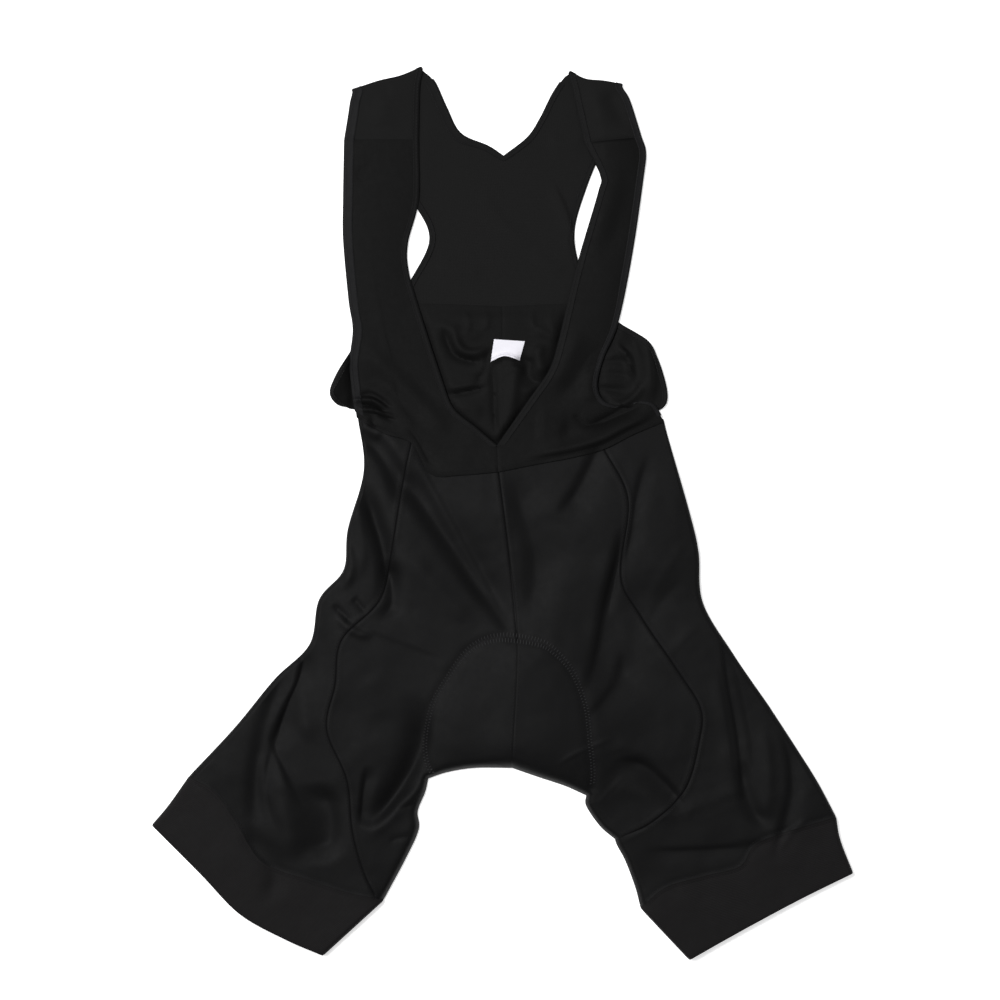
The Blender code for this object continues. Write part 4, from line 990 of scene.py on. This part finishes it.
def sewn(line, ups):
    """Starts, ends and upward directions of evenly spaced stitches along a line of points."""
    run = run_along(line)
    at = np.arange(STITCH_PITCH / 2, run[-1] - STITCH_PITCH, STITCH_PITCH)
    end = at + STITCH_PITCH * STITCH_SHARE
    return read_along(line, run, at), read_along(line, run, end), read_along(ups, run, at)


def level_ups(line):
    """An upward direction for each point of a line."""
    return np.tile((0.0, 0.0, 1.0), (len(line), 1))


def beside(path, offset, count):
    """A plan curve moved sideways by an offset, with even stations."""
    line = smooth(path, count)
    return line + offset * leftwards(line)


# materials

def add(tree, kind, **settings):
    """A node with its settings; a setting named for an input socket goes to that socket."""
    made = tree.nodes.new(kind)
    for key, value in settings.items():
        socket = key.replace("_", " ").title()
        if socket in made.inputs and not hasattr(made, key):
            made.inputs[socket].default_value = value
        else:
            setattr(made, key, value)
    return made


def maths(tree, operation, first, second=None):
    """A Math node on one or two values, each a socket or a number."""
    made = add(tree, "ShaderNodeMath", operation=operation)
    for socket, value in zip(made.inputs, (first, second)):
        if isinstance(value, bpy.types.NodeSocket):
            tree.links.new(value, socket)
        elif value is not None:
            socket.default_value = value
    return made.outputs[0]


def group(name, inputs, outputs):
    """An empty shader node group with named values. Returns its tree, the sockets of the values
    given to it, and the node that takes its results."""
    made = bpy.data.node_groups.new(name, "ShaderNodeTree")
    for label, value in inputs:
        socket = made.interface.new_socket(label, in_out="INPUT", socket_type="NodeSocketFloat")
        socket.default_value = value
    for label in outputs:
        made.interface.new_socket(label, in_out="OUTPUT", socket_type="NodeSocketFloat")
    given = made.nodes.new("NodeGroupInput").outputs
    return made, given, made.nodes.new("NodeGroupOutput")


def cloth_parts(tree):
    """The cloth coordinates, across and down."""
    cloth = add(tree, "ShaderNodeUVMap", uv_map="cloth")
    parts = add(tree, "ShaderNodeSeparateXYZ")
    tree.links.new(cloth.outputs[0], parts.inputs[0])
    return parts.outputs[:2]


def relief_and_painted_shade(tree, out, height):
    """Gives a group its two results, the height and the hollow, 1 - height, which is the mask of
    the painted shade between threads. Returns the group.
    """
    tree.links.new(height, out.inputs[0])
    tree.links.new(maths(tree, "SUBTRACT", 1.0, height), out.inputs[1])
    return tree


def knit_group():
    """Columns of knitted loops on the cloth's own coordinates. Height is the loops' roundness:
    (1 - across^2) (0.55 + 0.45 sin(pi down)), with each column's loops bent into a V."""
    # the second result masks painted shade in the hollows between the loops
    tree, given, out = group("knit loops", (("Wales", 1100.0), ("Courses", 1300.0)),
                             ("Height", "Painted Shade"))
    across, down = cloth_parts(tree)
    column = maths(tree, "FRACT", maths(tree, "MULTIPLY", across, given[0]))
    side = maths(tree, "ABSOLUTE", maths(tree, "SUBTRACT", column, 0.5))
    side = maths(tree, "MULTIPLY", side, 2.0)
    bent = maths(tree, "ADD", maths(tree, "MULTIPLY", down, given[1]),
                 maths(tree, "MULTIPLY", side, 0.5))
    loop = maths(tree, "SINE", maths(tree, "MULTIPLY", maths(tree, "FRACT", bent), math.pi))
    crown = maths(tree, "SUBTRACT", 1.0, maths(tree, "MULTIPLY", side, side))
    share = maths(tree, "ADD", maths(tree, "MULTIPLY", loop, 0.45), 0.55)
    return relief_and_painted_shade(tree, out, maths(tree, "MULTIPLY", crown, share))


def mesh_group():
    """A fine open mesh: holes in staggered rows. Hole is 1 in a hole and 0 on the threads, and is
    the mask by which painted shade darkens the holes.
    """
    tree, given, out = group("open mesh", (("Pitch", 700.0), ("Size", 0.34)), ("Height", "Hole"))
    across, down = (maths(tree, "MULTIPLY", part, given[0]) for part in cloth_parts(tree))
    row = maths(tree, "MULTIPLY", maths(tree, "MODULO", maths(tree, "FLOOR", down), 2.0), 0.5)
    across = maths(tree, "ADD", across, row)
    x = maths(tree, "SUBTRACT", maths(tree, "FRACT", across), 0.5)
    y = maths(tree, "SUBTRACT", maths(tree, "FRACT", down), 0.5)
    reach = maths(tree, "SQRT", maths(tree, "ADD", maths(tree, "MULTIPLY", x, x),
                                      maths(tree, "MULTIPLY", y, y)))
    edge = maths(tree, "DIVIDE", maths(tree, "SUBTRACT", given[1], reach), 0.12)
    hole = maths(tree, "MINIMUM", maths(tree, "MAXIMUM", edge, 0.0), 1.0)
    tree.links.new(maths(tree, "SUBTRACT", 1.0, hole), out.inputs[0])
    tree.links.new(hole, out.inputs[1])
    return tree


def rib_group():
    """Fine ribs side by side across a hem: 0.5 + 0.5 cos(2 pi n across). Turned is 1 where they
    lie along a band."""
    # the second result masks painted shade in the hollows between the ribs
    tree, given, out = group("fine ribs", (("Ribs", 700.0), ("Turned", 0.0)), ("Height", "Painted Shade"))
    across, down = cloth_parts(tree)
    along = maths(tree, "MULTIPLY", down, given[1])
    across = maths(tree, "MULTIPLY", across, maths(tree, "SUBTRACT", 1.0, given[1]))
    place = maths(tree, "MULTIPLY", maths(tree, "ADD", along, across), given[0])
    wave = maths(tree, "COSINE", maths(tree, "MULTIPLY", place, 2 * math.pi))
    height = maths(tree, "ADD", maths(tree, "MULTIPLY", wave, 0.5), 0.5)
    return relief_and_painted_shade(tree, out, height)


def mottle_group():
    """Uneven wear and yarn: Wear varies over hands' breadths, Yarn over a few millimetres, and
    Fibre over parts of one."""
    tree, given, out = group("mottle", (("Spread", 1.0),), ("Wear", "Yarn", "Fibre"))
    place = add(tree, "ShaderNodeTexCoord")
    for k, (scale, detail) in enumerate(((14.0, 3.0), (190.0, 3.0), (1400.0, 2.0))):
        noise = add(tree, "ShaderNodeTexNoise", scale=scale, detail=detail, roughness=0.6)
        tree.links.new(place.outputs["Object"], noise.inputs["Vector"])
        spread = maths(tree, "SUBTRACT", noise.outputs[0], 0.5)
        spread = maths(tree, "MULTIPLY", spread, given[0])
        tree.links.new(maths(tree, "ADD", spread, 0.5), out.inputs[k])
    return tree


def placed(tree, kind, **values):
    """A node group placed in a material with its own values."""
    made = tree.nodes.new("ShaderNodeGroup")
    made.node_tree = kind
    for label, value in values.items():
        made.inputs[label.title()].default_value = value
    return made


def blended(tree, factor, low, high):
    """A colour between low and high by a factor; each is a socket or a colour."""
    made = add(tree, "ShaderNodeMix", data_type="RGBA")
    for label, value in (("Factor_Float", factor), ("A_Color", low), ("B_Color", high)):
        socket = next(s for s in made.inputs if s.identifier == label)
        if isinstance(value, bpy.types.NodeSocket):
            tree.links.new(value, socket)
        else:
            socket.default_value = value if label == "Factor_Float" else (*value, 1.0)
    return next(s for s in made.outputs if s.identifier == "Result_Color")


# how far the yarn lightens the colour, and to what; how far painted shade darkens the hollows
# between threads; how much the yarn varies the roughness; the fibres' share of the relief
YARN_SHARE = 0.5
YARN_LIGHTER = 1.25
PAINTED_HOLLOW_SHADE = 0.55
YARN_ROUGHNESS = 0.16
FIBRE_RELIEF = 0.5


def fabric(name, worn, fresh, hollow, weave, depth, roughness, gloss, sheen=0.0, spread=1.0,
           **values):
    """A woven or knitted finish. Its colour runs from worn to fresh by the mottle, and to hollow
    between the threads as painted shade; depth is the threads' relief in millimetres, gloss the
    specular level."""
    made = bpy.data.materials.new(name)
    made.use_nodes = True
    tree = made.node_tree
    shader = tree.nodes["Principled BSDF"]
    threads = placed(tree, weave, **values)
    mottle = placed(tree, MOTTLE, spread=spread)
    large = blended(tree, mottle.outputs["Wear"], worn, fresh)
    yarn = maths(tree, "MULTIPLY", mottle.outputs["Yarn"], YARN_SHARE)
    fine = blended(tree, yarn, large, tuple(YARN_LIGHTER * part for part in fresh))
    # painted shade: the hollows between the threads are darkened towards the hollow colour
    shade = maths(tree, "MULTIPLY", threads.outputs[1], PAINTED_HOLLOW_SHADE)
    tree.links.new(blended(tree, shade, fine, hollow), shader.inputs["Base Color"])
    rough = maths(tree, "MULTIPLY", mottle.outputs["Yarn"], YARN_ROUGHNESS)
    rough = maths(tree, "ADD", rough, roughness - YARN_ROUGHNESS / 2)
    tree.links.new(rough, shader.inputs["Roughness"])
    relief = maths(tree, "MULTIPLY", mottle.outputs["Fibre"], FIBRE_RELIEF)
    relief = maths(tree, "ADD", threads.outputs[0], relief)
    bump = add(tree, "ShaderNodeBump", strength=1.0, distance=depth * MM)
    tree.links.new(relief, bump.inputs["Height"])
    tree.links.new(bump.outputs[0], shader.inputs["Normal"])
    shader.inputs["Specular IOR Level"].default_value = gloss
    shader.inputs["Sheen Weight"].default_value = sheen
    shader.inputs["Sheen Roughness"].default_value = 0.4
    return made


KNIT_LOOPS = knit_group()
OPEN_MESH = mesh_group()
FINE_RIBS = rib_group()
MOTTLE = mottle_group()

# each finish: its worn and fresh colours, the darker colour of painted shade in the hollows between
# threads, its weave, relief depth, roughness, gloss, sheen and mottle spread
BLACK_LYCRA = fabric("black lycra", (0.0030, 0.0030, 0.0031), (0.0044, 0.0044, 0.0046),
                     (0.0020, 0.0020, 0.0021), KNIT_LOOPS, 0.04, 0.57, 0.070, 0.004)
LYCRA_INSIDE = fabric("black lycra inside", (0.0036, 0.0036, 0.0036), (0.0047, 0.0047, 0.0047),
                      (0.0023, 0.0023, 0.0023), KNIT_LOOPS, 0.05, 0.66, 0.066, 0.003)
BIB_KNIT = fabric("black bib knit", (0.0026, 0.0026, 0.0026), (0.0035, 0.0035, 0.0035),
                  (0.0017, 0.0017, 0.0017), KNIT_LOOPS, 0.05, 0.62, 0.062, 0.004, wales=900.0)
YOKE_KNIT = fabric("black yoke mesh", (0.0056, 0.0056, 0.0056), (0.0064, 0.0064, 0.0064),
                   (0.0028, 0.0028, 0.0028), OPEN_MESH, 0.05, 0.76, 0.08, 0.005, 0.5)
BAND_KNIT = fabric("black gripper band", (0.0051, 0.0047, 0.0049), (0.0066, 0.0061, 0.0063),
                   (0.0032, 0.0029, 0.0031), FINE_RIBS, 0.08, 0.70, 0.10, 0.005, turned=1.0,
                   ribs=620.0)
HEM_TAPE = fabric("black hem tape", (0.0038, 0.0038, 0.0039), (0.0052, 0.0052, 0.0053),
                  (0.0024, 0.0024, 0.0024), FINE_RIBS, 0.05, 0.68, 0.08, 0.004, ribs=900.0)
ARM_TAPE = fabric("dark grey hem tape", (0.0041, 0.0041, 0.0045), (0.0054, 0.0054, 0.0060),
                  (0.0026, 0.0026, 0.0029), FINE_RIBS, 0.05, 0.66, 0.11, 0.008, ribs=900.0)
SOFT_PAD = fabric("grey padding", (0.050, 0.050, 0.054), (0.070, 0.070, 0.075),
                  (0.030, 0.030, 0.032), KNIT_LOOPS, 0.08, 0.85, 0.20, 0.05)
WHITE_SATIN = fabric("white label satin", (0.65, 0.64, 0.69), (0.68, 0.67, 0.72),
                     (0.58, 0.57, 0.62), FINE_RIBS, 0.02, 0.6, 0.3, 0.0, 0.4, ribs=2200.0)
BLACK_THREAD = fabric("black thread", (0.0050, 0.0050, 0.0053), (0.0078, 0.0078, 0.0083),
                      (0.0028, 0.0028, 0.0030), FINE_RIBS, 0.03, 0.5, 0.18, 0.01, ribs=4000.0)
GREY_THREAD = fabric("grey thread", (0.0112, 0.0112, 0.0120), (0.0203, 0.0203, 0.0210),
                     (0.0045, 0.0045, 0.0045), FINE_RIBS, 0.03, 0.55, 0.20, 0.01, ribs=4000.0)


def fitted(piece, node):
    """The piece stands for its solid, which is hidden, and rides on the garment."""
    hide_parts(node)
    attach(piece, "root")


def laid_flat(piece, node):
    """The piece is cloth; it stands for its solid and rides on the garment, as a fitted piece does.
    """
    fitted(piece, node)


def make_shorts():
    """Fronts, sides, backs and gripper bands. Returns their grids, which the hems follow."""
    edges = leg_edges()
    grids = {"front_" + side: front_panel(side, edges[side][0]) for side in SIDES}
    grids |= {"side_" + side: side_panel(side, *edges[side]) for side in SIDES}
    grids |= {"back_" + side: back_panel(side) for side in SIDES}
    for node, grid in grids.items():
        panel = shell(node + "_cloth", [grid], KNIT, BLACK_LYCRA)
        laid_flat(lined(panel, LYCRA_INSIDE) if node.startswith("back") else panel, node)
    for side in SIDES:
        node = "gripper_" + side
        grids[node] = gripper_band(side)
        laid_flat(shell(node + "_band", [grids[node]], GRIPPER, BAND_KNIT, True), node)
    return grids


def make_bib(grids):
    """Bib fronts with their straps, the back yoke, and the hems along their open edges."""
    bibs = {side: bib_panel(side) for side in SIDES}
    halves = {side: yoke_half(side) for side in SIDES}
    strips = {"back_neck_hem": strip_on(neck_rows((halves["left"][0], halves["right"][0])),
                                        BACK_NECK_HEM, YOKE_MESH)}
    for side, bib in bibs.items():
        back, whole = halves[side]
        front = np.concatenate([whole[len(back) + ROLL_STEPS // 2:], bib[1:]])
        strips["neck_hem_" + side] = strip_on(front[:-BIB_CENTRE_ROWS, ::-1], NECK_HEM[side], KNIT)
        strips["arm_hem_" + side] = strip_on(front[:-4], ARM_HEM[side], KNIT)
        reach = slice(None, 16)
        rows = [row[reach] for row in back[-4:1:-1]]
        rows += [row[reach] for row in grids["back_" + side][1:BACK_ARM_ROWS]]
        strips["back_arm_hem_" + side] = strip_on(np.array(rows), BACK_ARM_HEM, KNIT)
    for node, strip in strips.items():
        finish = ARM_TAPE if node.startswith("arm") else HEM_TAPE
        piece = shell(node + "_tape", [strip], HEM, finish)
        fitted(piece, node)
    for side, bib in bibs.items():
        piece = shell("bib_front_%s_cloth" % side, [bib], KNIT, BIB_KNIT)
        laid_flat(piece, "bib_front_" + side)
    yoke = shell("back_yoke_cloth", [halves["left"][1], halves["right"][1][:, ::-1]], YOKE_MESH,
                 YOKE_KNIT)
    laid_flat(yoke, "back_yoke")
    return bibs, strips


def make_pad():
    """The folded seat pad between front and back: a crowned form with two stitched channels."""
    plan = patch(smooth(PAD_LEFT, PAD_ROWS), smooth(PAD_RIGHT, PAD_ROWS),
                 smooth(PAD_TOP, PAD_COLUMNS), smooth(PAD_LOW, PAD_COLUMNS))
    under = KNIT + LAYER_GAP
    high = upper(plan) - KNIT / 2 - PAD_GAP
    u = np.linspace(0, 1, PAD_COLUMNS + 1)[None]
    v = np.linspace(0, 1, PAD_ROWS + 1)[:, None]
    rim = np.minimum(np.minimum(u, 1 - u), np.minimum(v, 1 - v))
    channels = sum(np.exp(-(((u - at) / 0.03) ** 2)) for at in PAD_CHANNEL_SHARES)
    crown = np.maximum(high - under - PAD_RIM - PAD_CHANNEL * channels, 0.2)
    high = under + PAD_RIM + crown * ease(0, 0.1, rim)
    top, low = lifted(plan, high), lifted(plan, under)
    count = high.size
    number = np.arange(count).reshape(high.shape)
    quads = cells(number).reshape(-1, 4)
    loop = np.concatenate([number[0, :-1], number[:-1, -1], number[-1, :0:-1], number[:0:-1, 0]])
    after = np.roll(loop, -1)
    rim_faces = np.stack([loop, after, after + count, loop + count], axis=1)
    faces = np.vstack([quads, quads[:, ::-1] + count, rim_faces])
    mark = cloth_marks(plan * MM, False).reshape(-1, 2)
    uvs = np.vstack([mark, mark])[faces]
    pad = meshed("seat_pad_foam", np.vstack([top.reshape(-1, 3), low.reshape(-1, 3)]) * MM, faces,
                 SOFT_PAD, uvs)
    fitted(pad, "seat_pad")


def make_label():
    """A plain label sewn inside the back: its upper layer ends in a step above its low end, which
    goes under the arc of a fold."""
    top, low = np.array(LABEL_TOP, float), np.array(LABEL_LOW, float)
    plan = patch(smooth((top[0], low[0]), LABEL_ROWS), smooth((top[1], low[-1]), LABEL_ROWS),
                 smooth(top, LABEL_COLUMNS), smooth(low, LABEL_COLUMNS))
    grid = raised(plan, lower)
    down = np.linspace(0, 1, LABEL_ROWS + 1)[:, None]
    across = np.linspace(0, 1, LABEL_COLUMNS + 1)[None]
    lift = KNIT / 2 + TRIM_GAP + LABEL / 2 + LABEL_STEP * ease(*LABEL_STEP_SHARES, down)
    grid[..., 2] = np.maximum(grid[..., 2], FLOOR + 1.6) + lift
    grid[..., 2] += 0.7 * np.sin(np.pi * across) * down
    grid[..., 2] += 0.5 * np.sin(2 * np.pi * down) * (1 - across)
    label = shell("care_label_satin", [grid], LABEL, WHITE_SATIN)
    laid_flat(label, "care_label")


def gathered_stitches(name, rows, radius, finish):
    """Several rows of stitches as one mesh."""
    starts, ends, ups = (np.vstack(parts) for parts in zip(*rows))
    piece = stitches(name, starts, ends, ups, radius, finish)
    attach(piece, "root")
    return piece


def cover_stitch(path):
    """Two rows of short rungs side by side along a plan path, longest at its middle."""
    line = smooth(path, 400)
    run = run_along(line)
    rows = []
    for side, first in ((-1, 0.25), (1, 0.75)):
        at = np.arange(first * COVER_PITCH, run[-1] - COVER_PITCH, COVER_PITCH)
        place = read_along(line, run, at)
        turn = side * read_along(leftwards(line), run, at)
        middle = np.exp(-(((at / run[-1] - 0.5) / 0.15) ** 2))[:, None]
        wide = RUNG + (LONGEST_RUNG - RUNG) * middle
        ends = [raised(place + turn * reach, upper, KNIT / 2 + 0.2) for reach in (0.3, wide)]
        rows.append((*ends, level_ups(place)))
    return rows


def make_stitching(bibs, strips):
    """Twin rows along the seams and hems, one along the bib's low edge, and the cover stitch of
    the pad."""
    over = KNIT / 2 + STITCH_LIFT
    seams = [(path, SEAM_TWIN, 240, slice(6, -6))
             for path in (*SIDE_SEAM.values(), *GRIPPER_SEAM.values())]
    seams.append((CENTRE_FRONT, CENTRE_TWIN, 160, slice(4, -8)))
    rows = []
    for path, twin, count, sewn_part in seams:
        for offset in (-twin, twin):
            line = raised(beside(path, offset, count)[sewn_part], upper, over)
            rows.append(sewn(line, level_ups(line)))
    for bib in bibs.values():
        line = bib[-3, 3:-3] + (0, 0, over)
        rows.append(sewn(line, level_ups(line)))
    for strip in strips.values():
        normals = unit(np.cross(np.gradient(strip, axis=0), np.gradient(strip, axis=1)))
        for column in HEM_STITCH_COLUMNS:
            normal = normals[2:-2, column] * np.sign(normals[2:-2, column, 2:])
            rows.append(sewn(strip[2:-2, column] + normal * (HEM / 2 + 0.1), normal))
    gathered_stitches("seam_threads", rows, THREAD, BLACK_THREAD)
    gathered_stitches("pad_cover_stitch", cover_stitch(PAD_STITCH), COVER_THREAD, GREY_THREAD)


def make_stage():
    """A plain pale surface just under the garment, which goes on past every view."""
    reach, under = 6.0, -0.0004
    corners = ((-reach, -reach), (reach, -reach), (reach, reach), (-reach, reach))
    mesh = bpy.data.meshes.new("surface")
    mesh.from_pydata([(*corner, under) for corner in corners], [], [(0, 1, 2, 3)])
    pale = bpy.data.materials.new("pale surface")
    pale.use_nodes = True
    shader = pale.node_tree.nodes["Principled BSDF"]
    shader.inputs["Base Color"].default_value = (0.86, 0.86, 0.86, 1.0)
    shader.inputs["Roughness"].default_value = 0.9
    shader.inputs["Emission Color"].default_value = (1.0, 1.0, 1.0, 1.0)
    shader.inputs["Emission Strength"].default_value = 0.55
    mesh.materials.append(pale)
    surface = bpy.data.objects.new("surface", mesh)
    bpy.context.scene.collection.objects.link(surface)


def soft_light(name, place, size, power):
    """A large soft light that faces the garment."""
    data = bpy.data.lights.new(name, "AREA")
    data.shape = "RECTANGLE"
    data.size, data.size_y = size
    data.energy = power
    light = bpy.data.objects.new(name, data)
    light.location = place
    away = -np.array(place, float)
    tilt = math.atan2(math.hypot(away[0], away[1]), -away[2])
    light.rotation_euler = (tilt, 0.0, math.atan2(away[1], away[0]) - math.pi / 2)
    bpy.context.scene.collection.objects.link(light)


def light_and_camera():
    """The main soft light from above on the upper left, a little from both sides, and a long lens
    straight over the garment."""
    scene = bpy.context.scene
    soft_light("left softbox", (-1.35, 0.25, 0.95), (0.9, 1.7), 8.5)
    soft_light("right softbox", (1.35, 0.15, 0.95), (0.9, 1.7), 5.5)
    soft_light("overhead softbox", (-1.35, 0.85, 3.6), (1.6, 1.2), 156.0)
    world = bpy.data.worlds.new("studio")
    world.use_nodes = True
    background = world.node_tree.nodes["Background"]
    background.inputs["Color"].default_value = (1.0, 1.0, 1.0, 1.0)
    background.inputs["Strength"].default_value = 0.16
    scene.world = world
    scene.view_settings.view_transform = "Standard"
    data = bpy.data.cameras.new("camera")
    data.sensor_width = 36.0
    distance, view_width = 3.6, 0.940
    data.lens = data.sensor_width * distance / view_width
    data.clip_end = 50.0
    camera = bpy.data.objects.new("camera", data)
    camera.location = (-0.00235, 0.0108, distance + 0.006)
    scene.collection.objects.link(camera)
    scene.camera = camera


make_pad()
shorts = make_shorts()
bib_grids, hem_strips = make_bib(shorts)
make_label()
make_stitching(bib_grids, hem_strips)
make_stage()
light_and_camera()
